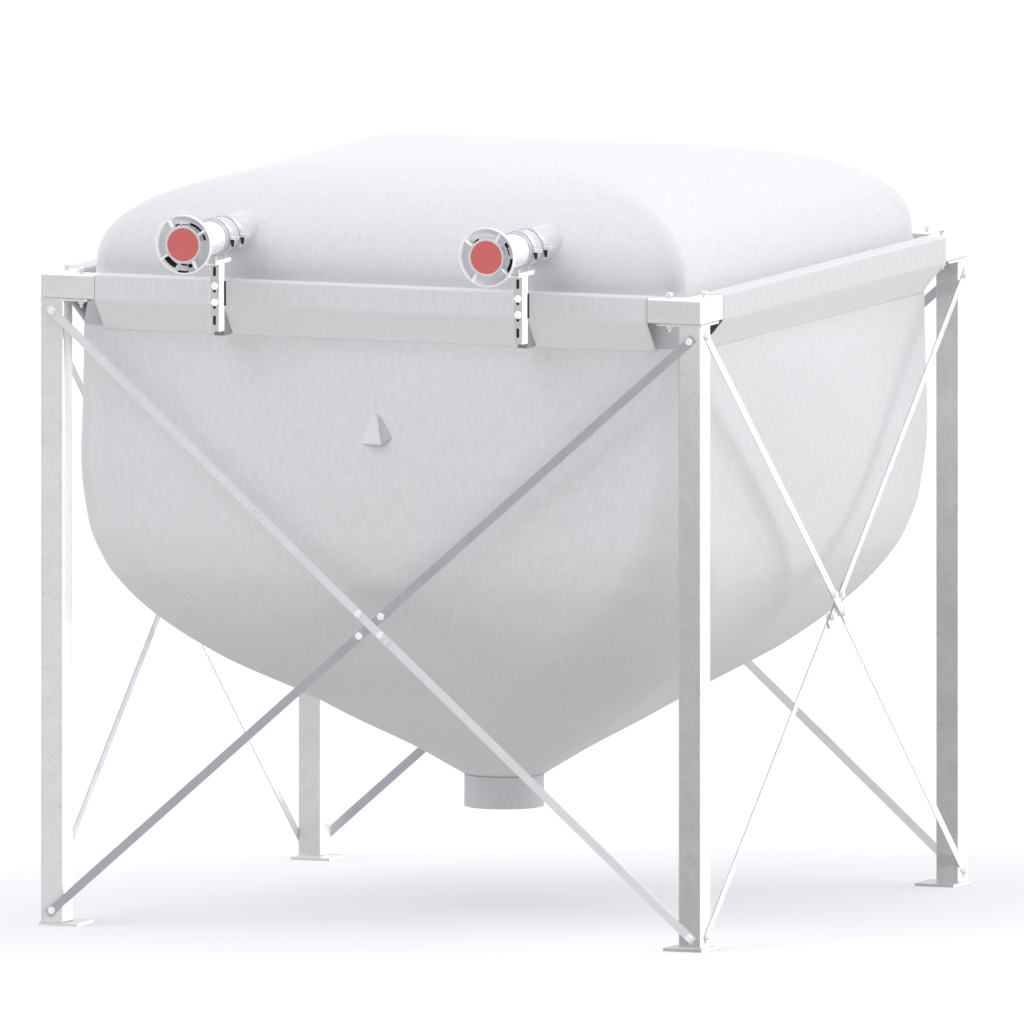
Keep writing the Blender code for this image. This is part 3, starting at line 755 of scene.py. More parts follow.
class Curve:
    """A smooth curve through stations, which never swings past them."""

    def __init__(self, places: Sequence[float], values: Sequence[float]) -> None:
        """Work out the curve's slopes.

        Args:
            places: Rising places of the stations.
            values: The value at each of them.
        """
        self.places = list(places)
        self.values = list(values)
        runs = [after - before for before, after in zip(self.places, self.places[1:])]
        rises = [(after - before) / run
                 for before, after, run in zip(self.values, self.values[1:], runs)]
        self.slopes = [rises[0]]
        for spot in range(1, len(rises)):
            before, after = rises[spot - 1], rises[spot]
            if before * after <= 0:
                self.slopes.append(0.0)
                continue
            near = 2 * runs[spot] + runs[spot - 1]
            far = runs[spot] + 2 * runs[spot - 1]
            self.slopes.append((near + far) / (near / before + far / after))
        self.slopes.append(rises[-1])

    def at(self, place: float) -> float:
        """Read the curve.

        Args:
            place: Where to read it. Past an end, that end counts.

        Returns:
            The value there.
        """
        place = min(self.places[-1], max(self.places[0], place))
        spot = max(0, bisect_left(self.places, place) - 1)
        run = self.places[spot + 1] - self.places[spot]
        share = (place - self.places[spot]) / run
        ease = share * share * (3 - 2 * share)
        lead = share * (1 - share) ** 2
        trail = share * share * (share - 1)
        return ((1 - ease) * self.values[spot] + ease * self.values[spot + 1]
                + run * (lead * self.slopes[spot] + trail * self.slopes[spot + 1]))


class Path:
    """A line of points that is read by its share of the whole length."""

    def __init__(self, points: Sequence[Vector]) -> None:
        """Measure the line."""
        self.points = list(points)
        self.marks = [0.0]
        for before, after in zip(self.points, self.points[1:]):
            self.marks.append(self.marks[-1] + (after - before).length)

    @property
    def length(self) -> float:
        """The line's whole length."""
        return self.marks[-1]

    def at(self, share: float) -> Vector:
        """Find a point on the line.

        Args:
            share: Its share of the length.

        Returns:
            The point.
        """
        target = share * self.length
        after = min(len(self.marks) - 1, bisect_right(self.marks, target))
        start = self.marks[after - 1]
        along = (target - start) / (self.marks[after] - start)
        return self.points[after - 1].lerp(self.points[after], along)

    def stations(self, spacing: float) -> list[float]:
        """Choose places that keep every point and split the long runs.

        Args:
            spacing: Longest run between two places.

        Returns:
            The places' shares of the length.
        """
        shares = [0.0]
        for before, after in zip(self.marks, self.marks[1:]):
            parts = max(1, math.ceil((after - before) / spacing))
            shares += [(before + (after - before) * part / parts) / self.length
                       for part in range(1, parts + 1)]
        return shares

    @staticmethod
    def rounded(corners: Sequence[Vector], radius: float, steps: int = 5) -> "Path":
        """Make a line through corners that rounds each inner one off.

        Args:
            corners: The corners in order.
            radius: How far from a corner its rounding starts.
            steps: Pieces of each rounding.

        Returns:
            The line.
        """
        points = [corners[0]]
        for before, corner, after in zip(corners, corners[1:], corners[2:]):
            into = (before - corner).normalized()
            out = (after - corner).normalized()
            reach = min(radius, (before - corner).length * 0.49, (after - corner).length * 0.49)
            first = corner + into * reach
            last = corner + out * reach
            for step in range(steps + 1):
                share = step / steps
                points.append(first.lerp(corner, share).lerp(corner.lerp(last, share), share))
        points.append(corners[-1])
        return Path(points)


@dataclass(frozen=True)
class Section:
    """The bag's level outline: a square with round corners whose sides swell at their middles.

    Attributes:
        half: From the middle to a side.
        corner: Radius of the corners.
        bulge: How far the middle of a side swells.
        least_corner: Least share of a side's columns that each half corner takes.
    """

    half: float
    corner: float
    bulge: float = 0.0
    least_corner: float = 0.14

    def point(self, share: float) -> Vector:
        """Find a point of the front side.

        Args:
            share: Its share of the way from the left to the right corner.

        Returns:
            The point, at height 0.
        """
        flat = self.half - self.corner
        arc = self.corner * math.pi / 4
        columns = max(arc / (2 * arc + 2 * flat), self.least_corner)
        if share > 0.5:
            mirrored = self.point(1 - share)
            return Vector((-mirrored.x, mirrored.y, 0.0))
        if share < columns or columns > 0.499:
            angle = math.pi / 4 * (1 - share / columns)
            return Vector((-flat - self.corner * math.sin(angle),
                           -flat - self.corner * math.cos(angle), 0.0))
        along = 2 * (share - columns) / (1 - 2 * columns) - 1
        swell = self.bulge * (1 + math.cos(math.pi * along)) / 2
        return Vector((flat * along, -self.half - swell, 0.0))

    def round(self, share: float) -> tuple[Vector, float]:
        """Find a point of the whole outline.

        Args:
            share: Its share of the way round.

        Returns:
            The point, and its share of its own side.
        """
        side = min(3, int(share * 4))
        own = share * 4 - side
        return Matrix.Rotation(math.pi / 2 * side, 3, "Z") @ self.point(own), own


@dataclass
class Assembly:
    """A sub-assembly of the silo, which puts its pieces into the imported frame."""

    layout: Layout
    rack: FinishRack

    def stand(self, bm: BMesh, turn: float = 0.0) -> BMesh:
        """Turn a mesh about Z, move it from the origin to the silo's axis and return it."""
        return moved(bm, Matrix.Rotation(turn, 3, "Z"), (0.0, self.layout.axis_y, 0.0))

    def add(self, name: str, bm: BMesh, finish: Finish, replaces: Sequence[str] = (),
            others: Sequence[Finish] = (), smooth: float = 35.0, crisp: bool = True
            ) -> bpy.types.Object:
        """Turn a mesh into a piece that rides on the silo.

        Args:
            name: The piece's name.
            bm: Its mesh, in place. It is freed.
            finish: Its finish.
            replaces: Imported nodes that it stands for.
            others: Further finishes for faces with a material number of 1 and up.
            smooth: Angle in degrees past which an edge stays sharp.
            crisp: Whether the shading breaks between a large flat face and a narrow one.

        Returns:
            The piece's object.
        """
        mesh = bpy.data.meshes.new(name)
        bm.to_mesh(mesh)
        bm.free()
        for used in (finish, *others):
            mesh.materials.append(self.rack.take(used))
        marked = [edge.index for edge in mesh.edges if edge.use_edge_sharp]
        mesh.shade_smooth()
        mesh.set_sharp_from_angle(angle=math.radians(smooth))
        for number in marked:
            mesh.edges[number].use_edge_sharp = True
        if crisp:
            part_flats(mesh)
        made = put(name, mesh)
        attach(made, BODY)
        if replaces:
            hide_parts(*replaces)
        LOG.info("%s: %d faces", name, len(mesh.polygons))
        return made

    def add_cloth(self, name: str, bm: BMesh, size: tuple[float, float], held: Held,
                  replaces: Sequence[str] = (), rests_on: Sequence[str] = (),
                  finish: Finish = FinishRack.cloth, thick: float = 0.0012,
                  others: Sequence[Finish] = ()) -> bpy.types.Object:
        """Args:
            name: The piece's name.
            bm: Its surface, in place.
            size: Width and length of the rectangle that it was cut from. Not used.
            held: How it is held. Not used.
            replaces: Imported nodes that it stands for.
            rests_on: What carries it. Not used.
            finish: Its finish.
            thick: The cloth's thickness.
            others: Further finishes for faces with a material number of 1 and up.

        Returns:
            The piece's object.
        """
        area = sum(face.calc_area() for face in bm.faces)
        made = self.add(name, bm, finish, replaces, others, smooth=60.0, crisp=False)
        wall = made.modifiers.new("cloth_thickness", "SOLIDIFY")
        wall.thickness = thick
        wall.offset = -1.0
        return made


@dataclass
class Fasteners:
    """Hexagon bolts with washers and nuts.

    Attributes:
        across: Width of a head across its corners.
        head: Height of a head.
        nut: Height of a nut.
        washer: Radius of a washer.
        washer_thick: Its thickness.
        shank: Radius of the threaded end.
        neck: Radius of the bare shank under a head.
        spare: Length of thread that stands out of a nut.
        washer_edge: Radius of a washer's rims.
        head_edge: Radius of a hexagon's outer rim.
        thread_edge: Radius of the threaded end's rims.
    """

    across: float = 0.0196
    head: float = 0.0062
    nut: float = 0.0080
    washer: float = 0.0108
    washer_thick: float = 0.0018
    shank: float = 0.0050
    neck: float = 0.0056
    spare: float = 0.0030
    washer_edge: float = 0.0004
    head_edge: float = 0.0010
    thread_edge: float = 0.0008

    def stack(self, seat: Vector, out: Vector, high: float, shank: float = 0.0,
              twist: float = 0.0) -> BMesh:
        """Make a washer with a hexagon on it, and a threaded end where asked.

        Args:
            seat: The point that the washer lies on.
            out: Direction away from the seat.
            high: Height of the hexagon.
            shank: Length of thread beyond the hexagon.
            twist: Turn of the hexagon about its own axis.

        Returns:
            The fastener's mesh, in place.
        """
        ring = rod(self.washer, self.washer_thick, 24, (0, 0, self.washer_thick / 2),
                   self.washer_edge)
        hexagon = bmesh.new()
        bmesh.ops.create_cone(hexagon, cap_ends=True, segments=6, radius1=self.across / 2,
                              radius2=self.across / 2, depth=high)
        top = [edge for edge in hexagon.edges if min(vert.co.z for vert in edge.verts) > 0]
        bevel(hexagon, top, self.head_edge)
        moved(hexagon, Matrix.Rotation(twist, 3, "Z"), (0, 0, self.washer_thick + high / 2))
        parts = [ring, hexagon]
        if shank:
            end = self.washer_thick + high + shank / 2
            parts.append(rod(self.shank, shank, 12, (0, 0, end), self.thread_edge))
        return moved(join(*parts), out.to_track_quat("Z", "Y").to_matrix(), seat)

    def bolt(self, head_seat: Vector, nut_seat: Vector, twist: float = 0.0) -> BMesh:
        """Make a bolt's head on one seat and its nut on the other."""
        out = (head_seat - nut_seat).normalized()
        return join(self.stack(head_seat, out, self.head, twist=twist),
                    self.stack(nut_seat, -out, self.nut, self.spare, twist))


@dataclass
class SteelFrame(Assembly):
    """Legs on foot plates, corner pieces, rails and crossed braces.

    Attributes:
        edge: Outer radius of the tubes.
        gap: Clearance between pieces that touch.
        plate: Width of a foot plate.
        plate_out: How far a plate stands out past the leg's outer faces.
        plate_corner: Radius of its upright edges.
        plate_edge: Radius of its rims.
        bead: Radius of the weld round a leg's foot.
        ripples: Ripples round that weld.
        arm: Length of a corner piece's arm from its outer corner.
        corner_bolt: From the outer corner to an arm's bolt.
        bolt_neck: Bare shank between an arm and its bolt's head.
        bar: Width of a brace.
        bar_thick: Its thickness.
        bar_edge: Radius of its edges, and of a head plate's rims.
        lap: How far each half of a brace runs past the crossing.
        lap_bolt: From the crossing to each lap bolt.
        bar_end: Length of bar beyond an end bolt.
        flat_end: Length of bar before an end bolt that lies flat on the leg.
        flat_lap: Length of bar before the crossing that lies flat in its layer.
        head_arm: Length of a head plate's arm from its outer corner.
        head_thick: Thickness of a head plate.
        head_end: Radius of its arms' corners.
        thread: Length of thread below a corner bolt's nut.
    """

    edge: float = 0.0052
    gap: float = 0.0003
    plate: float = 0.120
    plate_out: float = 0.004
    plate_corner: float = 0.0025
    plate_edge: float = 0.0007
    bead: float = 0.0048
    ripples: int = 90
    arm: float = 0.163
    corner_bolt: float = 0.110
    bolt_neck: float = 0.0075
    bar: float = 0.025
    bar_thick: float = 0.003
    bar_edge: float = 0.0006
    lap: float = 0.078
    lap_bolt: float = 0.044
    bar_end: float = 0.016
    flat_end: float = 0.050
    flat_lap: float = 0.100
    head_arm: float = 0.138
    head_thick: float = 0.006
    head_end: float = 0.006
    thread: float = 0.0105

    def build(self) -> None:
        """Build the whole frame."""
        for corner in Corner:
            self.leg(corner)
            self.corner_piece(corner)
        for side in Side:
            self.rail(side)
            inner = Slope.RISING if side in (Side.FRONT, Side.RIGHT) else Slope.FALLING
            for slope in Slope:
                self.brace(side, slope, Lay.INNER if slope is inner else Lay.OUTER)

    def l_outline(self, low: float, arm: float, height: float) -> list[tuple[float, ...]]:
        """Outline an L of a tube's width.

        Args:
            low: Its outer corner along X and Y.
            arm: Length of its arms.
            height: Its height.

        Returns:
            The outline's points in order.
        """
        inner = low + self.layout.tube
        far = low + arm
        return [(low, low, height), (far, low, height), (far, inner, height),
                (inner, inner, height), (inner, far, height), (low, far, height)]

    def head_plate(self, low: float) -> BMesh:
        """Make the L-shaped plate on a leg's head.

        Args:
            low: Its outer corner along X and Y.

        Returns:
            The plate with its edges broken.
        """
        bottom = self.layout.top - self.layout.tube - self.gap - self.head_thick
        bm = prism(self.l_outline(low, self.head_arm, bottom), (0.0, 0.0, self.head_thick))
        far = low + self.head_arm - self.gap
        ends = [edge for edge in edges_along(bm, 2)
                if max(edge.verts[0].co.x, edge.verts[0].co.y) > far]
        bevel(bm, ends, self.head_end, 3)
        bevel(bm, sharp_edges(bm, 60), self.bar_edge)
        return bm

    def leg(self, corner: Corner) -> None:
        """Make a leg with its foot plate, the weld between them, and its head plate.

        Args:
            corner: The corner that it stands at.
        """
        low = -self.layout.half
        high = low + self.layout.tube
        foot = self.layout.foot
        under = self.layout.top - self.layout.tube - self.gap - self.head_thick
        tube = box((low, low, foot / 2), (high, high, under))
        bevel(tube, edges_along(tube, 2), self.edge, 4)
        first = low - self.plate_out
        last = first + self.plate
        plate = box((first, first, 0.0), (last, last, foot))
        bevel(plate, edges_along(plate, 2), self.plate_corner, 3)
        bevel(plate, sharp_edges(plate, 60), self.plate_edge)
        name = corner.title
        whole = join(tube, plate, self.head_plate(low))
        # The right-hand legs take the darker steel: painted shade.
        dull = "leg_tube_" + name in RIGHT_LEGS
        self.add("leg_tube_" + name, self.stand(whole, corner.turn),
                 self.rack.dull_tube if dull else self.rack.tube, ["leg_" + name])
        self.add("leg_weld_" + name, self.stand(self.weld(low, high), corner.turn),
                 self.rack.weld)

    def weld(self, low: float, high: float) -> BMesh:
        """Make a rippled fillet weld round the foot of a tube.

        Args:
            low: The tube's lower limit along X and Y.
            high: Its upper limit.

        Returns:
            The weld's surface.
        """
        middle = (low + high) / 2
        half = (high - low) / 2
        section = Section(half, self.edge, least_corner=0.10)

        def place(share: float, rise: float) -> Vector:
            """Return the bead's point at a share round the tube and a share inwards."""
            angle = math.pi / 2 * rise
            size = self.bead * (1 + 0.10 * math.sin(2 * math.pi * self.ripples * share)
                                + 0.12 * noise.noise(Vector((share * 40, 3.0, 0.0))))
            out = half + size * (1 - math.sin(angle))
            grown = Section(out, self.edge + out - half, least_corner=0.10)
            point, _ = (grown if rise < 1 else section).round(share)
            return Vector((middle + point.x, middle + point.y,
                           self.layout.foot + size * (1 - math.cos(angle))))

        bm = cloth_grid(6 * self.ripples, 5, place, (0.3, 0.01))
        face_outwards(bm, Vector((middle, middle, self.layout.foot)))
        return bm

    def corner_piece(self, corner: Corner) -> None:
        """Make the L of square tube that takes two rails, with a bolt through each arm.

        Args:
            corner: The corner that it is at.
        """
        low = -self.layout.half
        tube = self.layout.tube
        bottom = self.layout.top - tube
        bm = prism(self.l_outline(low, self.arm, bottom), (0.0, 0.0, tube))
        ends = low + self.arm - self.gap
        rounded = []
        for edge in bm.edges:
            first, second = (vert.co for vert in edge.verts)
            at_end = (first.x > ends and second.x > ends) or (first.y > ends and second.y > ends)
            if not at_end:
                rounded.append(edge)
        bevel(bm, rounded, self.edge, 4)
        name = corner.title
        self.add("corner_tube_" + name, self.stand(bm, corner.turn), self.rack.tube,
                 ["corner_" + name])
        middle = low + tube / 2
        bolts = []
        kit = Fasteners(spare=self.thread)
        nut_seat = bottom - self.gap - self.head_thick
        neck = self.layout.top + self.bolt_neck
        for x, y in ((low + self.corner_bolt, middle), (middle, low + self.corner_bolt)):
            bolts.append(rod(kit.neck, self.bolt_neck, 16, (x, y, neck - self.bolt_neck / 2)))
            bolts.append(kit.bolt(Vector((x, y, neck)), Vector((x, y, nut_seat)), 0.2))
        self.add("corner_bolts_" + name, self.stand(join(*bolts), corner.turn),
                 self.rack.fastener)

    def rail(self, side: Side) -> None:
        """Dress a packed rail, which shows only beside its sleeve."""
        node = frame["nodes"]["rail_" + side.title]
        node.data.materials.clear()
        node.data.materials.append(self.rack.take(self.rack.tube))

    def bar_half(self, layer: int, direction: int, reach: float) -> BMesh:
        """Make half of a brace, from its leg to just past the crossing, along X from the origin.

        Args:
            layer: How many bars lie between it and the leg's face at the crossing.
            direction: 1 for the half towards +X, -1 for the other.
            reach: From the crossing to the end bolt.

        Returns:
            The bar with its edges broken.
        """
        rise = layer * (self.bar_thick + self.gap)
        stations = ((-reach - self.bar_end, 0.0), (-reach + self.flat_end, 0.0),
                    (-self.flat_lap, rise), (self.lap, rise))
        points = [(direction * along, -self.gap - lift, -self.bar / 2)
                  for along, lift in stations]
        points += [(direction * along, -self.gap - lift - self.bar_thick, -self.bar / 2)
                   for along, lift in reversed(stations)]
        bm = prism(points, (0.0, 0.0, self.bar))
        bevel(bm, sharp_edges(bm, 60), self.bar_edge)
        return bm

    def brace(self, side: Side, slope: Slope, lay: Lay) -> None:
        """Make one diagonal: two lapped bars with their bolts.

        Args:
            side: The side that it is on.
            slope: Which way it climbs.
            lay: Whether it is the side's inner or outer diagonal.
        """
        low, high = lay.value
        finish = self.rack.lilac_bar if lay is Lay.INNER else self.rack.pale_bar
        span = 2 * self.layout.half - self.layout.tube
        reach = math.hypot(span, high - low) / 2
        tilt = math.atan2(high - low, span)
        bars = join(self.bar_half(lay.layer, slope.value, reach),
                    self.bar_half(lay.layer + 1, -slope.value, reach))
        step = self.bar_thick + self.gap
        inner = -self.gap - lay.layer * step
        outer = inner - step - self.bar_thick
        kit = Fasteners()
        bolts = []
        for along in (-self.lap_bolt, self.lap_bolt):
            bolts.append(kit.bolt(Vector((along, outer, 0.0)), Vector((along, inner, 0.0)), tilt))
        for along in (-reach, reach):
            seat = Vector((along, -self.gap - self.bar_thick, 0.0))
            bolts.append(kit.stack(seat, Vector((0, -1, 0)), kit.head, twist=0.3))
        middle = Vector((0.0, -self.layout.half, self.layout.foot + (low + high) / 2))
        turn = Matrix.Rotation(-slope.value * tilt, 3, "Y")
        name = f"{side.title}_{slope.title}"
        for piece, bm, used, nodes in (
                ("brace_bars_" + name, bars, finish, ["brace_" + name]),
                ("brace_bolts_" + name, join(*bolts), self.rack.fastener, [])):
            self.add(piece, self.stand(moved(bm, turn, middle), side.turn), used, nodes)


@dataclass
class Bag(Assembly):
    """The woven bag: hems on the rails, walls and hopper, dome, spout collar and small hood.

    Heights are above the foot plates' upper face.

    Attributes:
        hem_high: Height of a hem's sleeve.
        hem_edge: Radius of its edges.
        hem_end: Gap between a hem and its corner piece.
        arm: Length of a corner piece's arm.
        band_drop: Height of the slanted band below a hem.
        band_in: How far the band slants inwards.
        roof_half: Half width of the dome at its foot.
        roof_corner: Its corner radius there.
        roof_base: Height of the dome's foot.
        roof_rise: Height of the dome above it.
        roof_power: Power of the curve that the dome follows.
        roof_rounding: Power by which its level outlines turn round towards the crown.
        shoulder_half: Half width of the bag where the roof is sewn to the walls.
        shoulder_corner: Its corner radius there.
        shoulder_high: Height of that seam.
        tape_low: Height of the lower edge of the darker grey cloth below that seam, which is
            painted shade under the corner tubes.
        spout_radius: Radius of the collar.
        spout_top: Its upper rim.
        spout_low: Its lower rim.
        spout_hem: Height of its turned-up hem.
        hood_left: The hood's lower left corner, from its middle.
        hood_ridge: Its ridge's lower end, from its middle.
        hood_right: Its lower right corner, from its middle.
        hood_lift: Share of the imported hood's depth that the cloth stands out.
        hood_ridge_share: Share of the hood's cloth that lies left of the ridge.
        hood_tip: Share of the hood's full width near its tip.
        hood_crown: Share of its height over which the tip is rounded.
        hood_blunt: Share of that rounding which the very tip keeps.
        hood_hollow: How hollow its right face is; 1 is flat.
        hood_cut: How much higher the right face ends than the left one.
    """

    hem_high: float = 0.072
    hem_edge: float = 0.0035
    hem_end: float = 0.0016
    arm: float = 0.163
    band_drop: float = 0.090
    band_in: float = 0.074
    roof_half: float = 0.8915
    roof_corner: float = 0.054
    roof_base: float = 1.830
    roof_rise: float = 0.295
    roof_power: float = 2.75
    roof_rounding: float = 3.0
    shoulder_half: float = 0.9060
    shoulder_corner: float = 0.070
    shoulder_high: float = 1.800
    tape_low: float = 1.682
    spout_radius: float = 0.1125
    spout_top: float = 0.362
    spout_low: float = 0.270
    spout_hem: float = 0.024
    hood_left: float = -0.042
    hood_ridge: float = 0.0235
    hood_right: float = 0.050
    hood_lift: float = 0.56
    hood_ridge_share: float = 0.72
    hood_tip: float = 0.26
    hood_crown: float = 0.10
    hood_blunt: float = 0.02
    hood_hollow: float = 1.6
    hood_cut: float = 0.020

    # Height, half width, corner radius and bulge of the walls and the hopper
    stations: tuple[tuple[float, ...], ...] = (
        (1.800, 0.9060, 0.070, 0.000),
        (1.670, 0.9260, 0.088, 0.000),
        (1.570, 0.9300, 0.100, 0.022),
        (1.450, 0.9335, 0.105, 0.030),
        (1.280, 0.9395, 0.120, 0.025),
        (1.115, 0.9360, 0.175, 0.016),
        (1.005, 0.9180, 0.240, 0.012),
        (0.920, 0.8770, 0.275, 0.008),
        (0.827, 0.8060, 0.305, 0.005),
        (0.720, 0.6900, 0.335, 0.003),
        (0.621, 0.5350, 0.335, 0.000),
        (0.517, 0.3700, 0.275, 0.000),
        (0.445, 0.2450, 0.210, 0.000),
        (0.362, 0.1125, 0.1125, 0.000),
    )

    # Folds that slant down from a corner: distance from it, height, half width and depth
    slant_folds: tuple[tuple[float, ...], ...] = (
        (0.10, 1.630, 0.022, 0.0024), (0.16, 1.470, 0.016, 0.0014))

    # Level folds at the hopper's corners: height, reach and depth
    level_folds: tuple[tuple[float, ...], ...] = ((0.838, 0.50, 0.0016), (0.812, 0.32, 0.0012))
    level_fold_wide: float = 0.007

    def __post_init__(self) -> None:
        """Lay smooth curves through the stations."""
        rising = list(reversed(self.stations))
        heights = [station[0] + self.layout.foot for station in rising]
        self.half_curve = Curve(heights, [station[1] for station in rising])
        self.corner_curve = Curve(heights, [station[2] for station in rising])
        self.bulge_curve = Curve(heights, [station[3] for station in rising])
        self.wall_top = heights[-1]
        self.wall_low = heights[0]

    def build(self) -> None:
        """Build the whole bag."""
        self.body()
        self.dome()
        for side in Side:
            self.hem(side)
        self.collar()
        self.hood()

    def section(self, height: float) -> Section:
        """Return the bag's level outline at a height above the floor."""
        return Section(self.half_curve.at(height), self.corner_curve.at(height),
                       self.bulge_curve.at(height))

    def crease(self, own: float, height: float) -> float:
        """Say how far the cloth is drawn in by the folds that pull from a side's corners.

        Args:
            own: Share of the side from its left to its right corner.
            height: Height above the floor.

        Returns:
            Depth of the folds in metres.
        """
        away = min(own, 1 - own) * 2 * self.half_curve.at(height)
        depth = 0.0
        for start, peak, width, deep in self.slant_folds:
            line = peak - (away - start)
            run = smooth_step(away, 0.04, 0.16) * (1 - smooth_step(away, 0.45, 0.75))
            depth += deep * run * math.exp(-((height - line) / width) ** 2)
        for level, reach, deep in self.level_folds:
            run = smooth_step(away, 0.06, 0.12) * (1 - smooth_step(away, reach * 0.5, reach))
            depth += deep * run * math.exp(-((height - level) / self.level_fold_wide) ** 2)
        return depth

    def body(self) -> None:
        """Make the walls and the hopper as one lofted shell."""
        steps = 240
        rows = 116
        profile = []
        for step in range(steps + 1):
            height = self.wall_top + (self.wall_low - self.wall_top) * step / steps
            profile.append(Vector((self.half_curve.at(height) + self.bulge_curve.at(height), 0.0,
                                   height)))
        meridian = Path(profile)
        # Height of the lower edge of the painted shade on the wall's top.
        tape = self.layout.foot + self.tape_low

        def place(share: float, down: float) -> Vector:
            """Return the bag's point at a share round it and a share down it."""
            height = meridian.at(down).z
            if abs(height - tape) < meridian.length / rows / 2:
                height = tape
            point, own = self.section(height).round(share)
            outward = point.normalized()
            ripple = 0.0014 * noise.noise(Vector((point.x * 5, point.y * 5, height * 3)))
            ripple += 0.0005 * noise.noise(Vector((point.x * 17, point.y * 17, height * 9)))
            settle = smooth_step(height, self.wall_low, self.wall_low + 0.15)
            point += outward * (ripple * settle - self.crease(own, height))
            return Vector((point.x, point.y, height))

        girth = 8 * max(station[1] for station in self.stations)
        size = (girth, meridian.length)
        bm = cloth_grid(288, rows, place, size)
        face_outwards(bm, Vector((0, 0, 1.2)))
        # The wall's top above that height takes the darker grey cloth: painted shade under the
        # corner tubes.
        paint((face for face in bm.faces if face.calc_center_median().z > tape), 1)
        panels = [f"{kind}_{side.title}" for kind in ("wall", "hopper") for side in Side]
        hems = ["rail_" + side.title for side in Side]
        self.add_cloth("bag_body", self.stand(bm), size, Held.HUNG, panels, hems,
                       others=[self.rack.tape])

    def roof_level(self, half: float) -> Section:
        """Find the dome's level outline.

        Args:
            half: Its half width there.

        Returns:
            The outline.
        """
        if half > self.roof_half:
            share = (half - self.roof_half) / (self.shoulder_half - self.roof_half)
            corner = self.roof_corner + share * (self.shoulder_corner - self.roof_corner)
            return Section(half, corner)
        first = self.roof_corner / self.roof_half
        roundness = first + (1 - first) * (1 - half / self.roof_half) ** self.roof_rounding
        return Section(half, half * roundness)

    def roof_half_at(self, height: float) -> float:
        """Find the dome's half width.

        Args:
            height: Height above the floor.

        Returns:
            The half width there.
        """
        share = (height - self.layout.foot - self.roof_base) / self.roof_rise
        if share <= 0:
            return self.roof_half
        rise = min(1.0, share) ** (self.roof_power / 2)
        return self.roof_half * (1 - rise * rise) ** (1 / self.roof_power)

    def roof_front(self, x: float, height: float) -> float:
        """Find how far the dome's front lies from the silo's axis.

        Args:
            x: Place across the silo.
            height: Height above the floor.

        Returns:
            The distance along Y.
        """
        level = self.roof_level(self.roof_half_at(height))
        flat = level.half - level.corner
        past = abs(x) - flat
        if past <= 0:
            return level.half
        return flat + math.sqrt(max(0.0, level.corner ** 2 - past ** 2))

    def roof_profile(self) -> Path:
        """Shape the dome's profile from its crown down to its seam.

        Returns:
            The profile, with half widths as X and heights as Z.
        """
        base = self.layout.foot + self.roof_base
        points = []
        for step in range(91):
            angle = math.radians(90 - step)
            half = self.roof_half * max(0.0, math.cos(angle)) ** (2 / self.roof_power)
            height = base + self.roof_rise * math.sin(angle) ** (2 / self.roof_power)
            points.append(Vector((half, 0.0, height)))
        seam = self.layout.foot + self.shoulder_high
        points.append(Vector((self.shoulder_half, 0.0, seam + 0.006)))
        points.append(Vector((self.shoulder_half, 0.0, seam)))
        return Path(points)

    def dome(self) -> None:
        """Make the domed roof, which rises from behind the hems."""
        profile = self.roof_profile()
        reach = profile.length

        def place(across: float, along: float) -> Vector:
            """Return the dome's point at a share across it and a share along it."""
            a, b = 2 * across - 1, 2 * along - 1
            level = max(abs(a), abs(b))
            spot = profile.at(level)
            if level < SAME_PLACE:
                return Vector((0.0, 0.0, spot.z))
            if abs(b) >= abs(a):
                side, own = (0, (a / level + 1) / 2) if b < 0 else (2, (1 - a / level) / 2)
            else:
                side, own = (1, (b / level + 1) / 2) if a > 0 else (3, (1 - b / level) / 2)
            point = self.roof_level(spot.x).point(own)
            point = Matrix.Rotation(math.pi / 2 * side, 3, "Z") @ point
            rounded = 0.0020 * noise.noise(Vector((point.x * 3.5, point.y * 3.5, 7.0)))
            foot = smooth_step(level, 0.72, 0.98)
            pleat = 0.0007 * foot * noise.noise(Vector((own * 30, side * 9.0, 0.0)))
            still = 1 - smooth_step(level, 0.93, 1.0)
            out = point.normalized() if level > 0.02 else Vector((0, 0, 0))
            point += out * (foot * rounded * still + pleat)
            return Vector((point.x, point.y, spot.z + (1 - foot) * rounded))

        size = (2 * reach, 2 * reach)
        bm = cloth_grid(136, 136, place, size)
        hidden = []
        for face in bm.faces:
            middle = face.calc_center_median()
            for x in Filler.stations_x:
                off = math.hypot(middle.x - x, middle.z - self.layout.foot - Filler.axis_high)
                if middle.y < 0 and off < Filler.roof_hole:
                    hidden.append(face)
        bmesh.ops.delete(bm, geom=list(set(hidden)), context="FACES")
        face_outwards(bm, Vector((0, 0, 1.2)))
        self.add_cloth("roof_dome", self.stand(bm), size, Held.STRETCHED, ["roof"],
                       ["rail_" + side.title for side in Side])

    def hem(self, side: Side) -> None:
        """Make a hem: one sheet that is sewn round its rail and slants down to the wall.

        Args:
            side: The side that it is on.
        """
        layout = self.layout
        half = layout.half - self.arm - self.hem_end
        front = -layout.half
        top = layout.top + (self.hem_high - layout.tube) / 2
        low = top - self.hem_high
        back = front + layout.tube
        corners = [Vector((0, front + self.band_in, low - self.band_drop)),
                   Vector((0, front, low)), Vector((0, front, top)), Vector((0, back, top)),
                   Vector((0, back, low + 0.001)), Vector((0, front + 0.004, low + 0.002))]
        line = Path.rounded(corners, self.hem_edge, 4)
        rows = line.stations(0.008)

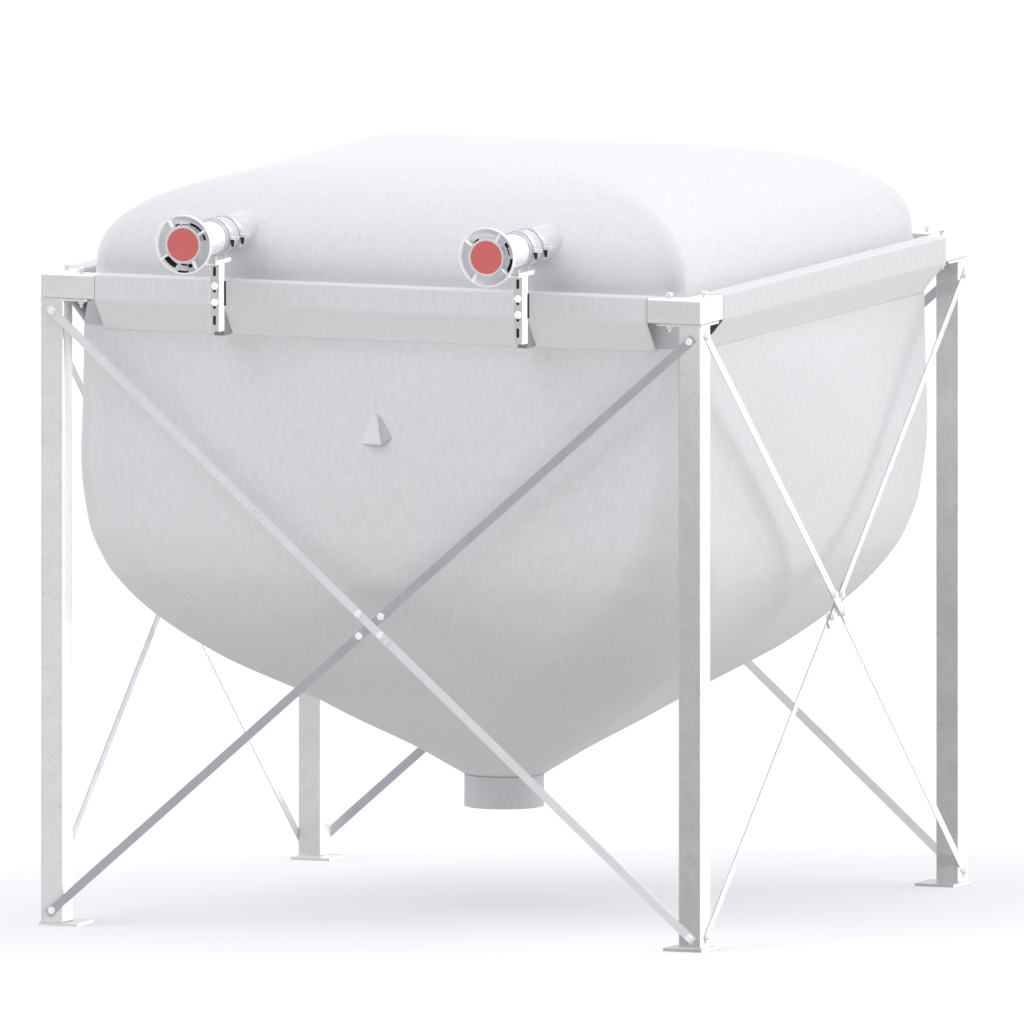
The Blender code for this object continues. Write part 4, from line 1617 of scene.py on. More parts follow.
        def place(along: float, round_it: float) -> Vector:
            """Return the hem's point at a share along the rail and a share round it."""
            spot = line.at(rows[round(round_it * (len(rows) - 1))])
            x = half * (2 * along - 1)
            near = smooth_step(abs(x), half - 0.06, half)
            loose = 0.0008 * noise.noise(Vector((x * 7 + side.value * 5, spot.y * 20, spot.z * 12)))
            pucker = 0.0005 * near * noise.noise(Vector((spot.z * 60, side.value, 4.0)))
            outer = spot.y < front + layout.tube / 2
            shift = loose + pucker
            return Vector((x, spot.y - (abs(shift) if outer else -abs(shift)) + 0.0008, spot.z))

        size = (2 * half, line.length)
        bm = cloth_grid(150, len(rows) - 1, place, size)
        face_outwards(bm, Vector((0, front + layout.tube / 2, low + self.hem_high / 2)))
        # The slanted band below the sleeve takes the lighter cloth: painted light.
        paint((face for face in bm.faces if face.calc_center_median().z < low), 1)
        self.add_cloth("hem_sheet_" + side.title, self.stand(bm, side.turn), size, Held.FOLDED,
                       ["hem_" + side.title], ["rail_" + side.title], others=[self.rack.webbing])

    def collar(self) -> None:
        """Make the round collar that the hopper ends in, with its turned-up lower hem."""
        foot = self.layout.foot
        radius = self.spout_radius
        low = foot + self.spout_low
        hem = low + self.spout_hem
        corners = [Vector((radius, 0, foot + self.spout_top - 0.0005)),
                   Vector((radius, 0, hem + 0.002)), Vector((radius + 0.0006, 0, hem)),
                   Vector((radius + 0.0006, 0, low)), Vector((radius - 0.0025, 0, low)),
                   Vector((radius - 0.0025, 0, hem))]
        line = Path.rounded(corners, 0.0010, 3)

        def place(share: float, down: float) -> Vector:
            """Return the collar's point at a share round it and a share down and up again."""
            spot = line.at(down)
            angle = 2 * math.pi * share
            out = spot.x - 0.0004 + 0.0004 * noise.noise(Vector((share * 24, spot.z * 20, 2.0)))
            return Vector((out * math.cos(angle), out * math.sin(angle), spot.z))

        size = (2 * math.pi * radius, line.length)
        bm = cloth_grid(120, 30, place, size)
        face_outwards(bm, Vector((0, 0, low + 0.05)))
        self.add_cloth("spout_collar", self.stand(bm), size, Held.HUNG, ["spout"], (),
                       self.rack.collar, 0.0020)

    def hood(self) -> None:
        """Make the small hood over the wall's vent: a left and a right face, open below."""
        low_corner, high_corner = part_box("wall_hood")
        high = high_corner.z - low_corner.z
        wide = (high_corner.x - low_corner.x) / 2
        out = (high_corner.y - low_corner.y) * self.hood_lift
        back = high_corner.y
        ridge_share = self.hood_ridge_share

        def place(across: float, down: float) -> Vector:
            """Return the hood's point at a share across it and a share down it."""
            grown = self.hood_tip + (1 - self.hood_tip) * down
            z = high_corner.z - high * down
            if across < ridge_share:
                share = across / ridge_share
                x = self.hood_left + (self.hood_ridge - self.hood_left) * share
                lift = out * math.sin(math.pi / 2 * share)
            else:
                share = (across - ridge_share) / (1 - ridge_share)
                x = self.hood_ridge + (self.hood_right - self.hood_ridge) * share
                lift = out * (1 - share) ** self.hood_hollow
                z += self.hood_cut * down * share
            wall = self.section(z)
            seat = self.layout.axis_y - wall.half - wall.bulge - 0.0006
            round_off = self.hood_blunt + (1 - self.hood_blunt) * min(1.0, down / self.hood_crown)
            grown *= round_off ** 0.5
            return Vector((x * grown, min(seat, back) - lift * grown, z))

        size = (2.6 * wide, high * 1.06)
        bm = cloth_grid(36, 28, place, size)
        uv = bm.loops.layers.uv[CLOTH_UV]
        # Faces right of the ridge take the darker grey cloth: painted shade in the hood's hollow.
        for face in bm.faces:
            across = sum(loop[uv].uv.x for loop in face.loops) / len(face.loops) / size[0]
            face.material_index = 1 if across > ridge_share else 0
        face_outwards(bm, Vector((0, back + 0.1, (low_corner.z + high_corner.z) / 2)))
        self.add_cloth("vent_hood", bm, size, Held.STRETCHED, ["wall_hood"],
                       others=[self.rack.tape])


@dataclass
class Filler(Assembly):
    """One filler: pipe, hose coupling with its blind cap, roof sleeve, band clamps and bracket.

    Stations run along Y from the frame's front face; heights are above the foot plates.

    Attributes:
        name: Which filler it is.
        x: Its place across the silo.
        rib_angles: Where the coupling's four ribs stand, in degrees from +X.
        slot_sectors: Which two of the four spaces after a rib are slotted.
    """

    name: str = "left"
    x: float = 0.0
    rib_angles: tuple[float, ...] = (34.0, 126.0, 212.0, 300.0)
    slot_sectors: tuple[int, ...] = (0, 2)

    # Both fillers' places across the silo, their height, and the hole in the roof at each
    stations_x: tuple[float, float] = (-0.459, 0.459)
    axis_high: float = 1.958
    roof_hole: float = 0.043

    # Pipe and sleeve
    pipe_radius: float = 0.0475
    pipe_wall: float = 0.003
    pipe_rim: float = 0.0008
    pipe_front: float = -0.228
    pipe_back: float = 0.300
    cuff_radius: float = 0.0505
    cuff_front: float = -0.068
    cuff_long: float = 0.250
    cuff_flare: float = 0.012
    cuff_share: float = 0.85
    gather_round: float = 1.25
    gather_along: float = 1.05

    # Clamps: the overlap is in degrees round the pipe
    clamps: tuple[float, float] = (-0.039, 0.035)
    clamp_wide: float = 0.022
    clamp_thick: float = 0.0015
    clamp_lip: float = 0.0012
    clamp_overlap: tuple[float, float] = (48.0, 66.0)
    clamp_overlap_high: float = 0.0016
    ear_out: float = 0.0240
    ear_bolt: float = 0.006
    ear_thick: float = 0.0042
    ear_corner: float = 0.005
    ear_gap: float = 0.0006

    # Coupling and cap
    ring_radius: float = 0.0845
    ring_front: float = -0.270
    cap_radius: float = 0.0532
    cap_front: float = -0.272
    cap_depth: float = 0.0012
    disc_radius: float = 0.0469
    rim_inner: float = 0.0800
    rib_wide: float = 0.0056
    slot_deep: float = 0.009

    # Slots of the two slotted spaces: degrees past the rib, from and to, inner and outer radius
    slot_plans: tuple[tuple[tuple[float, ...], ...], ...] = (
        ((-22, -3, 0.0545, 0.0640), (2, 47, 0.0545, 0.0630), (47, 77, 0.0536, 0.0562),
         (77, 91, 0.0565, 0.0640)),
        ((1, 34, 0.0620, 0.0740), (42, 63, 0.0590, 0.0630), (45, 69, 0.0740, 0.0790),
         (63, 76, 0.0590, 0.0680)),
    )

    # Strut
    strut_wide: float = 0.0315
    strut_deep: float = 0.035
    strut_wall: float = 0.0025
    strut_fold: float = 0.0042
    strut_top: float = 1.8815
    strut_high: float = 0.191
    slot_high: float = 0.027
    slot_wide: float = 0.0088
    slot_end: float = 0.0036
    slot_first: float = 0.0215
    slot_pitch: float = 0.046
    strut_bolts: tuple[float, float] = (1.819, 1.773)

    # Channel and uprights
    channel_wide: float = 0.0312
    channel_front: float = -0.062
    channel_back: float = 0.050
    channel_high: float = 0.0115
    upright_wide: float = 0.022
    upright_thick: float = 0.005
    uprights_at: tuple[float, float] = (-0.0560, 0.0140)
    upright_clear: float = 0.0016
    bracket_edge: float = 0.0005

    # Dark pad behind the strut and grey wedge below it, which paint the strut's shade
    pad_high: float = 0.070
    pad_middle: float = 1.796
    fold_high: float = 1.758
    wedge_in: float = 0.066
    wedge_low: float = 1.676
    wedge_rounding: float = 0.006
    pad_side: float = 0.0055

    @property
    def axis(self) -> Vector:
        """The filler's axis where it meets the frame's front face."""
        return Vector((self.x, self.layout.front_y, self.layout.foot + self.axis_high))

    def build(self, bag: Bag) -> None:
        """Build the filler.

        Args:
            bag: The bag, whose dome the sleeve is fitted to.
        """
        self.pipe()
        self.coupling()
        self.cap()
        self.sleeve(bag)
        for number, station in enumerate(self.clamps):
            self.clamp(number, station)
        self.bracket()

    def seat(self, bm: BMesh) -> BMesh:
        """Move a mesh from the origin onto the filler's axis and return it."""
        return moved(bm, move=self.axis)

    def node(self, part: str) -> str:
        """Return the name of one of the filler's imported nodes."""
        return f"filler_{self.name}_{part}"

    def pipe(self) -> None:
        """Make the drawn pipe with rounded ends."""
        outer = self.pipe_radius
        inner = outer - self.pipe_wall
        rim = self.pipe_rim
        profile = [(outer - rim, self.pipe_front), (outer, self.pipe_front + rim),
                   (outer, self.pipe_back - rim), (outer - rim, self.pipe_back),
                   (inner, self.pipe_back), (inner, self.pipe_front)]
        self.add(f"pipe_{self.name}", self.seat(turned(profile, 96)), self.rack.pipe,
                 [self.node("pipe")])

    def coupling(self) -> None:
        """Make the hose coupling: rim, dish with ribs, slots and lugs, and a stepped neck."""
        front = self.ring_front
        ring = self.ring_radius
        neck = self.pipe_radius + 0.0003
        bore = self.cap_radius + 0.0003
        seat = self.pipe_front - front
        shape = ((ring - 0.0010, 0.0), (ring, 0.0010), (ring, 0.0040), (ring - 0.0030, 0.0048),
                 (ring - 0.0030, 0.0070), (ring - 0.0012, 0.0080), (ring - 0.0016, 0.0130),
                 (0.0720, 0.0300), (0.0620, 0.0440), (0.0560, 0.0540), (0.0540, 0.0600),
                 (0.0540, 0.0760), (0.0530, 0.0780), (neck, 0.0780), (neck, seat - 0.0003),
                 (bore, seat - 0.005), (bore, 0.0255), (0.0565, 0.0250), (0.0620, 0.0235),
                 (0.0675, 0.0205), (0.0712, 0.0170), (0.0745, 0.0125), (0.0775, 0.0065),
                 (0.0792, 0.0020), (self.rim_inner, 0.0))
        bm = turned([(radius, front + deep) for radius, deep in shape], 180)
        for face in bm.faces:
            middle = face.calc_center_median()
            # The front rim takes the whiter metal: painted highlight.
            edge = math.hypot(middle.x, middle.z) > self.rim_inner
            face.material_index = 2 if edge and middle.y < front + 0.0045 else 0
        for sector, plan in zip(self.slot_sectors, self.slot_plans):
            start = self.rib_angles[sector]
            for first, last, inner, outer in plan:
                self.slot(bm, start + first, start + last, inner, outer)
        parts = [bm]
        wide = self.rib_wide / 2
        for angle in self.rib_angles:
            rib = box((self.cap_radius, front + 0.0008, -wide),
                      (ring - 0.004, front + 0.0150, wide))
            bevel(rib, rib.edges, 0.0008)
            # The ribs take the whiter metal: painted highlight.
            paint(rib.faces, 2)
            parts.append(moved(rib, Matrix.Rotation(-math.radians(angle), 3, "Y")))
        self.add(f"coupling_{self.name}", self.seat(join(*parts)), self.rack.casting,
                 [self.node("coupling")], others=[self.rack.seal, self.rack.rim], smooth=28.0)

    def slot(self, bm: BMesh, start: float, end: float, inner: float, outer: float
             ) -> None:
        """Sink an arc slot into the coupling's dish.

        Args:
            bm: The coupling's mesh, on the origin.
            start: Angle that the slot starts at, in degrees from +X.
            end: Angle that it ends at.
            inner: Its inner radius.
            outer: Its outer radius.
        """
        chosen = []
        for face in bm.faces:
            middle = face.calc_center_median()
            radius = math.hypot(middle.x, middle.z)
            angle = math.degrees(math.atan2(middle.z, middle.x)) % 360
            past = (angle - start) % 360
            dished = face.normal.y < -0.2 and middle.y < self.ring_front + 0.0258
            if dished and inner < radius < outer and past < end - start:
                chosen.append(face)
        if not chosen:
            return
        bmesh.ops.inset_region(bm, faces=chosen, thickness=0.0005, depth=0.0,
                               use_even_offset=True)
        grown = bmesh.ops.extrude_face_region(bm, geom=chosen, use_keep_orig=False)
        verts = new_verts(grown)
        bmesh.ops.delete(bm, geom=chosen, context="FACES_ONLY")
        bmesh.ops.translate(bm, vec=(0.0, self.slot_deep, 0.0), verts=verts)
        # The slot's walls and floor take the black finish: painted shade in the recess.
        for vert in verts:
            paint(vert.link_faces, 1)

    def cap(self) -> None:
        """Make the blind cap: a metal rim with a plain red disc in it."""
        front = self.cap_front
        back = self.pipe_front - 0.006
        rim = self.cap_radius
        disc = self.disc_radius
        sunk = self.cap_depth
        profile = [(0.0, front + sunk), (disc, front + sunk), (disc + 0.0003, front + 0.0003),
                   (disc + sunk, front), (rim - sunk, front), (rim, front + sunk), (rim, back),
                   (0.0, back)]
        bm = turned(profile, 96, closed=False)
        for face in bm.faces:
            middle = face.calc_center_median()
            centred = math.hypot(middle.x, middle.z) < disc
            face.material_index = 1 if centred and middle.y < front + 0.003 else 0
        self.add(f"cap_{self.name}", self.seat(bm), self.rack.casting, [self.node("cap")],
                 others=[self.rack.red])

    def sleeve(self, bag: Bag) -> None:
        """Make the roof's sleeve: gathered under the clamps and flared into the dome.

        Args:
            bag: The bag, whose dome it runs into.
        """
        axis_z = self.layout.foot + self.axis_high
        tube_share = self.cuff_share

        def dome_station(radius: float, angle: float) -> float:
            """Return where the dome lies along Y, at a radius and an angle round the axis."""
            x = self.x + radius * math.cos(angle)
            return self.layout.half - bag.roof_front(x, axis_z + radius * math.sin(angle))

        def place(share: float, along: float) -> Vector:
            """Return the sleeve's point at a share round it and a share along it."""
            angle = 2 * math.pi * share
            radius = self.cuff_radius
            meets = dome_station(radius, angle)
            turn_in = meets - 0.010
            if along < tube_share:
                station = self.cuff_front + (turn_in - self.cuff_front) * along / tube_share
            else:
                bend = (along - tube_share) / (1 - tube_share)
                wide = self.cuff_radius + self.cuff_flare
                ends = dome_station(wide, angle) + 0.0015
                radius += self.cuff_flare * bend * bend
                station = ((1 - bend) ** 2 * turn_in + 2 * bend * (1 - bend) * (meets + 0.004)
                           + bend * bend * ends)
            free = min(abs(station - clamp) for clamp in self.clamps) - self.clamp_wide / 2
            loose = smooth_step(free, 0.0, 0.014)
            if along < tube_share:
                radius += 0.0008 * loose * (math.sin(9 * angle + station * 30)
                                            + math.sin(5 * angle + 1.3))
                radius += 0.0006 * loose
            radius -= 0.0004 * (1 - loose)
            lip = self.pipe_radius + 0.0014
            radius = lip + (radius - lip) * smooth_step(station, self.cuff_front,
                                                        self.cuff_front + 0.004)
            return Vector((radius * math.cos(angle), station, radius * math.sin(angle)))

        size = (2 * math.pi * self.cuff_radius, self.cuff_long)
        bm = cloth_grid(112, 72, place, size)
        face_outwards(bm, Vector((0.0, 0.02, 0.0)))
        self.add_cloth(f"sleeve_{self.name}", self.seat(bm),
                       (size[0] * self.gather_round, size[1] * self.gather_along),
                       Held.GATHERED, [self.node("sleeve")], [self.node("pipe")])

    def clamp(self, number: int, station: float) -> None:
        """Make a band clamp: an overlapped band, two ears and the bolt that draws them together.

        Args:
            number: The clamp's place from the front.
            station: Its middle along the pipe.
        """
        radius = self.cuff_radius + 0.0001
        half = self.clamp_wide / 2
        thick = self.clamp_thick
        outer = radius + thick
        profile = [(radius, station - half), (outer + self.clamp_lip, station - half),
                   (outer, station - half + 0.003), (outer, station + half - 0.003),
                   (outer + self.clamp_lip, station + half), (radius, station + half)]
        band = turned(profile, 96)
        # The band's sides take the slightly darker steel: painted shade.
        paint((face for face in band.faces if abs(face.normal.y) > 0.5), 1)
        tail = []
        overlap_from, overlap_to = (math.radians(angle) for angle in self.clamp_overlap)
        for face in band.faces:
            middle = face.calc_center_median()
            angle = math.atan2(middle.z, middle.x)
            outside = math.hypot(middle.x, middle.z) > radius + thick * 0.6
            if outside and overlap_from < angle < overlap_to:
                tail.append(face)
        grown = bmesh.ops.extrude_face_region(band, geom=tail)
        bmesh.ops.delete(band, geom=tail, context="FACES_ONLY")
        swell = 1 + self.clamp_overlap_high / radius
        bmesh.ops.scale(band, vec=(swell, 1.0, swell), verts=new_verts(grown))
        parts = [band]
        ear_half = self.ear_thick / 2
        for level in (ear_half, -ear_half - self.ear_gap):
            ear = box((radius - 0.001, station - half + 0.0005, level - ear_half),
                      (radius + self.ear_out, station + half - 0.0005, level + ear_half))
            bevel(ear, edges_along(ear, 2), self.ear_corner, 3)
            bevel(ear, sharp_edges(ear, 60), 0.0006)
            # The ears take the whiter metal: painted highlight.
            paint(ear.faces, 2)
            parts.append(ear)
        self.add(f"clamp_{self.name}_{number}", self.seat(join(*parts)), self.rack.clamp,
                 others=[self.rack.band_edge, self.rack.rim])
        bolt_x = radius + self.ear_bolt
        kit = Fasteners(across=0.0100, nut=0.0150, washer=0.0058, washer_thick=0.0010,
                        shank=0.0038)
        under = -self.ear_thick - self.ear_gap
        # The bolt under the ears takes the near-black steel: painted shade.
        nut = kit.stack(Vector((bolt_x, station, under)), Vector((0, 0, -1)), kit.nut, 0.0050)
        self.add(f"clamp_bolt_{self.name}_{number}", self.seat(nut), self.rack.dark_bolt)

    def bracket(self) -> None:
        """Make the bracket: slotted strut, channel, two uprights and two bolts."""
        foot = self.layout.foot
        top = foot + self.strut_top
        low = top - self.strut_high
        half = self.strut_wide / 2
        front = -self.strut_deep
        inner = half - self.strut_wall
        web = front + self.strut_wall
        back = -0.0003
        outline = [(-half, front, low), (half, front, low), (half, back, low), (inner, back, low),
                   (inner, web, low), (-inner, web, low), (-inner, back, low), (-half, back, low)]
        strut = prism(outline, (0.0, 0.0, self.strut_high))
        folds = [edge for edge in edges_along(strut, 2)
                 if max(vert.co.y for vert in edge.verts) < front + 0.0005]
        bevel(strut, folds, self.strut_fold, 4)
        for face in strut.faces:
            middle = face.calc_center_median()
            # Faces inside the channel take the black finish: painted shade inside the strut.
            lined = abs(middle.x) < inner - 0.0001 and middle.y > front + 0.0010
            face.material_index = 1 if lined else 0
            # The east side and the left fold take the whiter steel: painted light.
            beside = face.normal.x > 0.98 and middle.x > inner
            folded = face.normal.x < -0.2 and face.normal.y < -0.2
            if beside or folded:
                face.material_index = 2
        self.punch(strut, front, top)
        channel = self.channel(top)
        # The channel takes the whiter steel too.
        paint(channel.faces, 2)
        bm = moved(join(strut, channel, *self.uprights(top + self.strut_wall / 2)),
                   move=(self.x, self.layout.front_y, 0.0))
        self.add(f"bracket_{self.name}", bm, self.rack.strut, [self.node("bracket")],
                 others=[self.rack.seal, self.rack.bright_strut])
        # A black strip behind the strut and a grey wedge below it: painted shade beside the strut.
        middle = foot + self.pad_middle
        wide = half + self.pad_side
        pad = box((self.x - wide, self.layout.front_y - 0.0032, middle - self.pad_high / 2),
                  (self.x + wide, self.layout.front_y - 0.0008, middle + self.pad_high / 2))
        bevel(pad, sharp_edges(pad, 60), 0.0004)
        self.add(f"bracket_pad_{self.name}", join(pad, self.wedge(half)), self.rack.seal,
                 others=[self.rack.rubber])
        kit = Fasteners(washer_thick=0.0014)
        bolts = [kit.stack(Vector((self.x, self.layout.front_y + front, foot + height)),
                           Vector((0, -1, 0)), kit.head - 0.001, twist=0.2)
                 for height in self.strut_bolts]
        self.add(f"bracket_bolts_{self.name}", join(*bolts), self.rack.fastener)

    def punch(self, strut: BMesh, front: float, top: float) -> None:
        """Punch round-ended slots into the strut's web; their sides and bottoms take the black
        finish, which paints the shade in them.

        Args:
            strut: The strut's mesh.
            front: Its web's front face along Y.
            top: Its upper end.
        """
        web = max((face for face in strut.faces if face.normal.y < -0.99),
                  key=lambda face: face.calc_area())
        rim = list(web.edges)
        for edge in rim:
            edge.smooth = False
        bmesh.ops.delete(strut, geom=[web], context="FACES_ONLY")
        slots = []
        for number in range(4):
            centre = top - self.slot_first - number * self.slot_pitch
            verts = [strut.verts.new((x, front, z)) for x, z in self.slot_outline(centre)]
            slots.append([strut.edges.new(pair) for pair in zip(verts, verts[1:] + verts[:1])])
        edges = rim + [edge for slot in slots for edge in slot]
        bmesh.ops.triangle_fill(strut, edges=edges, use_beauty=True, normal=(0.0, -1.0, 0.0))
        for slot in slots:
            grown = bmesh.ops.extrude_edge_only(strut, edges=slot)
            verts = new_verts(grown)
            bmesh.ops.translate(strut, vec=(0.0, self.strut_wall - 0.0004, 0.0), verts=verts)
            slot_sides = [item for item in grown["geom"] if isinstance(item, bmesh.types.BMFace)]
            bottom = [item for item in grown["geom"] if isinstance(item, bmesh.types.BMEdge)
                      and all(vert in verts for vert in item.verts)]
            paint(slot_sides + bmesh.ops.edgeloop_fill(strut, edges=bottom)["faces"], 1)

    def slot_outline(self, centre: float) -> list[tuple[float, float]]:
        """Outline a slot with rounded ends.

        Args:
            centre: Height of its middle.

        Returns:
            X and Z of its points in order.
        """
        half = self.slot_wide / 2
        tall = self.slot_high / 2
        points = []
        for turn in range(4):
            east = 1 if turn in (0, 3) else -1
            up = 1 if turn < 2 else -1
            for step in range(4):
                angle = math.pi / 2 * turn + math.pi / 6 * step
                points.append((east * (half - self.slot_end) + self.slot_end * math.cos(angle),
                               centre + up * (tall - self.slot_end)
                               + self.slot_end * math.sin(angle)))
        return points

    def wedge(self, half: float) -> BMesh:
        """Make the dark grey wedge between the slanted band and the strut, which paints the shade
        behind the strut.

        Args:
            half: Half the strut's width.

        Returns:
            The wedge, in place.
        """
        fold = self.layout.foot + self.fold_high
        low = self.layout.foot + self.wedge_low
        slope = self.wedge_in / (fold - low)
        rounding = self.wedge_rounding
        outline = [(0.0, fold), (0.0, low), (self.wedge_in - 2 * rounding, low),
                   (self.wedge_in - 0.6 * rounding, low + 0.3 * rounding),
                   (self.wedge_in - 0.2 * rounding, low + rounding),
                   (self.wedge_in - slope * 2 * rounding, low + 2 * rounding)]
        bm = prism([(self.x - half + 0.001, self.layout.front_y + y, z) for y, z in outline],
                   (2 * half - 0.002, 0.0, 0.0))
        paint(bm.faces, 1)
        return bm

    def channel(self, low: float) -> BMesh:
        """Make the channel that lies on the strut, open upwards.

        Args:
            low: Height of the strut's top.

        Returns:
            The channel, its middle at X 0.
        """
        half = self.channel_wide / 2
        inner = half - self.strut_wall
        outline = [(-half, low), (half, low), (half, low + self.channel_high),
                   (inner, low + self.channel_high), (inner, low + self.strut_wall),
                   (-inner, low + self.strut_wall), (-inner, low + self.channel_high),
                   (-half, low + self.channel_high)]
        bm = prism([(x, self.channel_front, z) for x, z in outline],
                   (0.0, self.channel_back - self.channel_front, 0.0))
        bevel(bm, sharp_edges(bm, 60), self.bracket_edge)
        return bm

    def uprights(self, low: float) -> list[BMesh]:
        """Make the two uprights between the channel and the sleeve, hollowed to its form.

        Args:
            low: Height of their feet.

        Returns:
            The uprights, their middles at X 0.
        """
        half = self.upright_wide / 2
        axis_z = self.layout.foot + self.axis_high
        seat = self.cuff_radius + self.upright_clear
        made = []
        for station in self.uprights_at:
            arc = []
            for step in range(9):
                x = half - 2 * half * step / 8
                arc.append((x, station, axis_z - math.sqrt(seat ** 2 - x ** 2)))
            outline = [(-half, station, low), (half, station, low), *arc]
            upright = prism(outline, (0.0, self.upright_thick, 0.0))
            bevel(upright, sharp_edges(upright, 60), self.bracket_edge)
            made.append(upright)
        return made


@dataclass(frozen=True)
class Sun:
    """A wide, distant lamp.

    Attributes:
        name: Its name.
        azimuth: Where it stands, in degrees from the front towards +X.
        elevation: Its height above level, in degrees.
        strength: Light on a surface that faces it.
        angle: Its width as the silo sees it, in degrees.
        colour: Its colour.
        pieces: Starts of the names of the only pieces that it reaches. With none it reaches all.
    """

    name: str
    azimuth: float
    elevation: float
    strength: float
    angle: float = 50.0
    colour: str = "#FFFFFF"
    pieces: tuple[str, ...] = ()


@dataclass
class Studio:
    """A white studio: pale floor, soft light and the photograph's camera.

    Attributes:
        azimuth: Turn of the camera from the front towards +X, in degrees.
        elevation: Its height above level, in degrees.
        target: The point at the picture's middle.
        wide: Width of the parallel view.
        away: How far the camera stands from that point.
        floor: Half width of the floor.
        floor_light: The floor's lighter colour.
        floor_dark: Its darker colour.
        sky: Colour of the light from above.
        ground: Colour of the light from below.
        leg_lamp: Where the right-hand legs' own lamp stands.
        leg_lamp_power: Its power in watts.
        leg_lamp_radius: Its radius.
    """

    SUNS: ClassVar[tuple[Sun, ...]] = (
        Sun("overhead", 0.0, 85.0, 0.24, colour="#F4F5FF"),
        Sun("high_left", -40.0, 45.0, 0.76, colour="#FAFAFF"),
        Sun("high_right", 110.0, 45.0, 0.45, colour="#FAFAFF"),
        Sun("left", -90.0, 10.0, 0.62),
        Sun("low_front", 0.0, -35.0, 0.45),
        Sun("side", 120.0, 8.0, 0.83),
        Sun("rear_side", 165.0, 10.0, 1.13),
        Sun("rear", 205.0, 8.0, 0.25),
    )
    PIECE_SUNS: ClassVar[tuple[Sun, ...]] = (
        Sun("edge", 75.0, 8.0, 3.6, 30.0,
            pieces=("corner_tube_", "bracket_", "pipe_", "coupling_")),
        Sun("leg_edge", 83.0, 8.0, 5.6, 14.0, pieces=("leg_tube_",)),
        Sun("left_leg", 0.0, 5.0, 0.22, 30.0,
            pieces=("leg_tube_front_left", "corner_tube_front_left")),
        Sun("right_brace", 75.0, 8.0, 1.6, 30.0, pieces=("brace_bars_right_rising",)),
        Sun("top_edge", 200.0, 60.0, 1.7, 30.0, pieces=("corner_tube_", "corner_bolts_")),
        Sun("bolt_front", 10.0, 15.0, 0.6, 30.0, pieces=("brace_bolts_", "bracket_bolts_")),
    )

    azimuth: float = 22.0
    elevation: float = 6.0
    target: tuple[float, float, float] = (0.0200, 0.1345, 1.1065)
    wide: float = 2.8736
    away: float = 9.0
    floor: float = 60.0
    floor_light: str = "#F6F6F7"
    floor_dark: str = "#F4F4F5"
    sky: str = "#D9DADE"
    ground: str = "#B3B3B3"
    leg_lamp: tuple[float, float, float] = (0.95, -2.36, 2.0)
    leg_lamp_power: float = 26.0
    leg_lamp_radius: float = 0.3

    def build(self) -> None:
        """Set the studio up."""
        self.camera()
        self.stage()
        self.world()
        for sun in self.SUNS:
            self.hang(sun)
        bpy.context.scene.view_settings.view_transform = "Standard"

    @staticmethod
    def direction(azimuth: float, elevation: float) -> Vector:
        """Find the direction from the silo towards a place in the studio.

        Args:
            azimuth: The place's turn from the front towards +X, in degrees.
            elevation: Its height above level, in degrees.

        Returns:
            The direction.
        """
        turn = math.radians(azimuth)
        rise = math.radians(elevation)
        return Vector((math.sin(turn) * math.cos(rise), -math.cos(turn) * math.cos(rise),
                       math.sin(rise)))

    def camera(self) -> None:
        """Stand the camera where the photograph was taken from."""
        data = bpy.data.cameras.new("camera")
        data.type = "ORTHO"
        data.ortho_scale = self.wide
        data.clip_end = 300.0
        back = self.direction(self.azimuth, self.elevation)
        made = put("camera", data)
        made.location = Vector(self.target) + back * self.away
        made.rotation_euler = back.to_track_quat("Z", "Y").to_euler()
        bpy.context.scene.camera = made

    def stage(self) -> None:
        """Lay the floor, which gives no light of its own to the silo's underside."""
        bm = bmesh.new()
        bmesh.ops.create_grid(bm, x_segments=1, y_segments=1, size=self.floor)
        mesh = bpy.data.meshes.new("studio_floor")
        bm.to_mesh(mesh)
        bm.free()
        made = put("studio_floor", mesh)
        coat, tree, shader = start_material("floor_paint")
        place = add_node(tree, "TexCoord").outputs["Object"]
        cloud = add_node(tree, "TexNoise", {"Vector": place, "Scale": 0.5})
        colour = add_node(tree, "Mix", {
            0: cloud, 6: linear(self.floor_light), 7: linear(self.floor_dark)}, data_type="RGBA")
        feed(tree, shader, {
            "Base Color": colour.outputs[2], "Roughness": 1.0, "Specular IOR Level": 0.0})
        mesh.materials.append(coat)
        made.visible_diffuse = False
        made.visible_glossy = False
        made.visible_shadow = False

    def world(self) -> None:
        """Light the studio from all round, brighter from above than from below."""
        made = bpy.data.worlds.new("studio")
        bpy.context.scene.world = made
        made.use_nodes = True
        tree = made.node_tree
        place = add_node(tree, "TexCoord").outputs["Generated"]
        parted = add_node(tree, "SeparateXYZ", {"Vector": place})
        rise = add_node(tree, "MapRange", {
            "Value": parted.outputs["Z"], "From Min": -0.20, "From Max": 0.20})
        mixed = add_node(tree, "Mix", {
            0: rise, 6: linear(self.ground), 7: linear(self.sky)}, data_type="RGBA")
        feed(tree, tree.nodes["Background"], {"Color": mixed.outputs[2]})

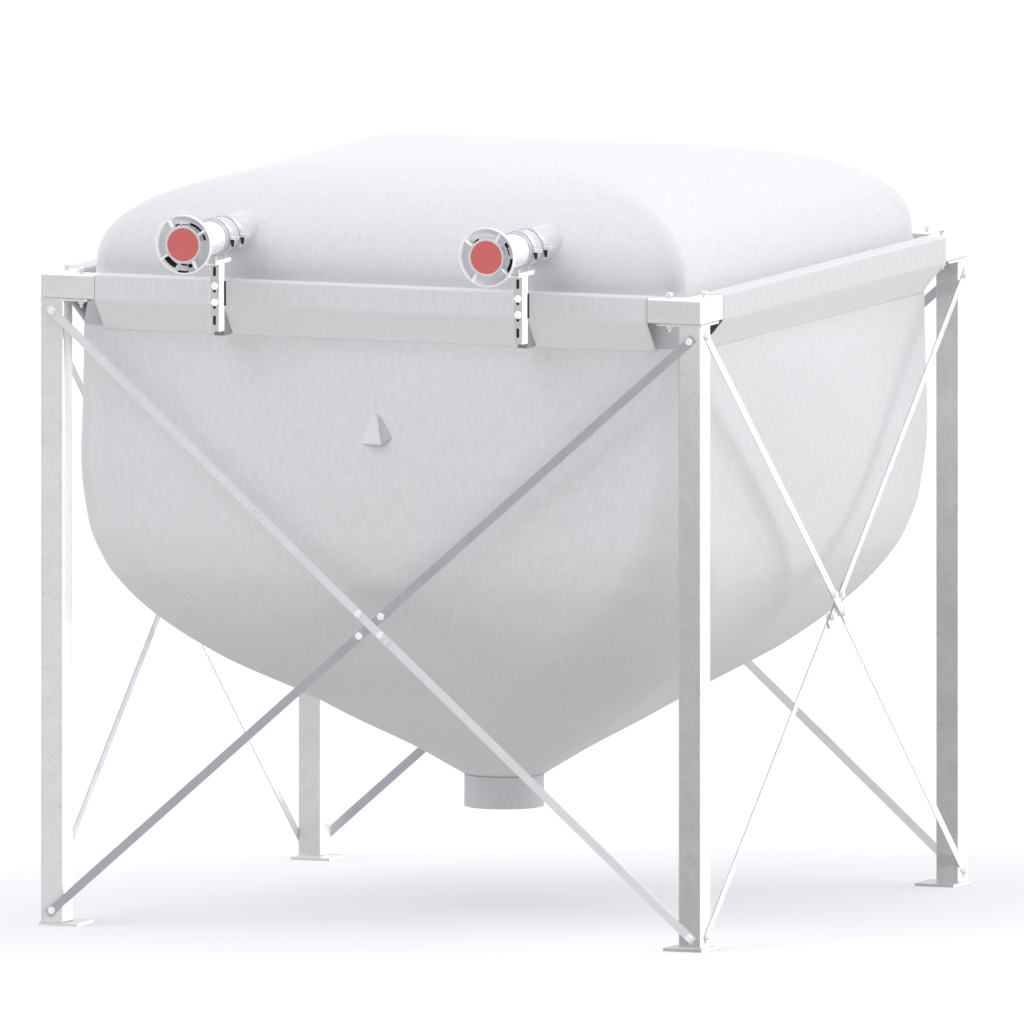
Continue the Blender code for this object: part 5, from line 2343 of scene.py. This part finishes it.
    @staticmethod
    def gather(name: str, starts: tuple[str, ...]) -> bpy.types.Collection:
        """Gather pieces for a lamp to reach or to pass.

        Args:
            name: The collection's name.
            starts: Starts of the pieces' names.

        Returns:
            The collection.
        """
        gathered = bpy.data.collections.new(name)
        for piece in bpy.data.objects:
            if piece.name.startswith(starts):
                gathered.objects.link(piece)
        return gathered

    def piece_lights(self) -> None:
        """Add the lamps that reach only some pieces, so that their bright faces stand out."""
        for sun in self.PIECE_SUNS:
            reached = self.gather(sun.name + "_lit", sun.pieces)
            for piece in reached.objects:
                piece.visible_diffuse = False
            self.hang(sun).light_linking.receiver_collection = reached

    def right_leg_light(self) -> None:
        """Light the right-hand legs' fronts from a near, high lamp: they darken downwards."""
        passed = self.gather("right_legs_passed", RIGHT_LEGS)
        for entry in passed.collection_objects:
            entry.light_linking.link_state = "EXCLUDE"
        for name in ("high_left", "low_front"):
            bpy.data.objects[name].light_linking.receiver_collection = passed
        lamp = bpy.data.lights.new("leg_top", "POINT")
        lamp.energy = self.leg_lamp_power
        lamp.shadow_soft_size = self.leg_lamp_radius
        made = put("leg_top", lamp)
        made.location = self.leg_lamp
        made.visible_camera = False
        made.light_linking.receiver_collection = self.gather("right_legs_lit", RIGHT_LEGS)

    def hang(self, sun: Sun) -> bpy.types.Object:
        """Add a wide, distant lamp.

        Args:
            sun: What the lamp is like.

        Returns:
            The lamp's object.
        """
        lamp = bpy.data.lights.new(sun.name, "SUN")
        lamp.energy = sun.strength
        lamp.angle = math.radians(sun.angle)
        lamp.color = linear(sun.colour)[:3]
        made = put(sun.name, lamp)
        towards = self.direction(sun.azimuth, sun.elevation)
        made.rotation_euler = towards.to_track_quat("Z", "Y").to_euler()
        return made


def main() -> None:
    """Build the studio and the silo's sub-assemblies in order."""
    logging.basicConfig(level=logging.INFO, format="%(name)s: %(message)s")
    layout = Layout.read()
    rack = FinishRack()
    studio = Studio()
    studio.build()
    SteelFrame(layout, rack).build()
    bag = Bag(layout, rack)
    bag.build()
    left, right = Filler.stations_x
    Filler(layout, rack, "left", left, (34.0, 126.0, 212.0, 300.0), (0, 2)).build(bag)
    Filler(layout, rack, "right", right, (60.0, 146.0, 236.0, 324.0), (1, 3)).build(bag)
    studio.piece_lights()
    studio.right_leg_light()


if __name__ == "__main__":
    main()
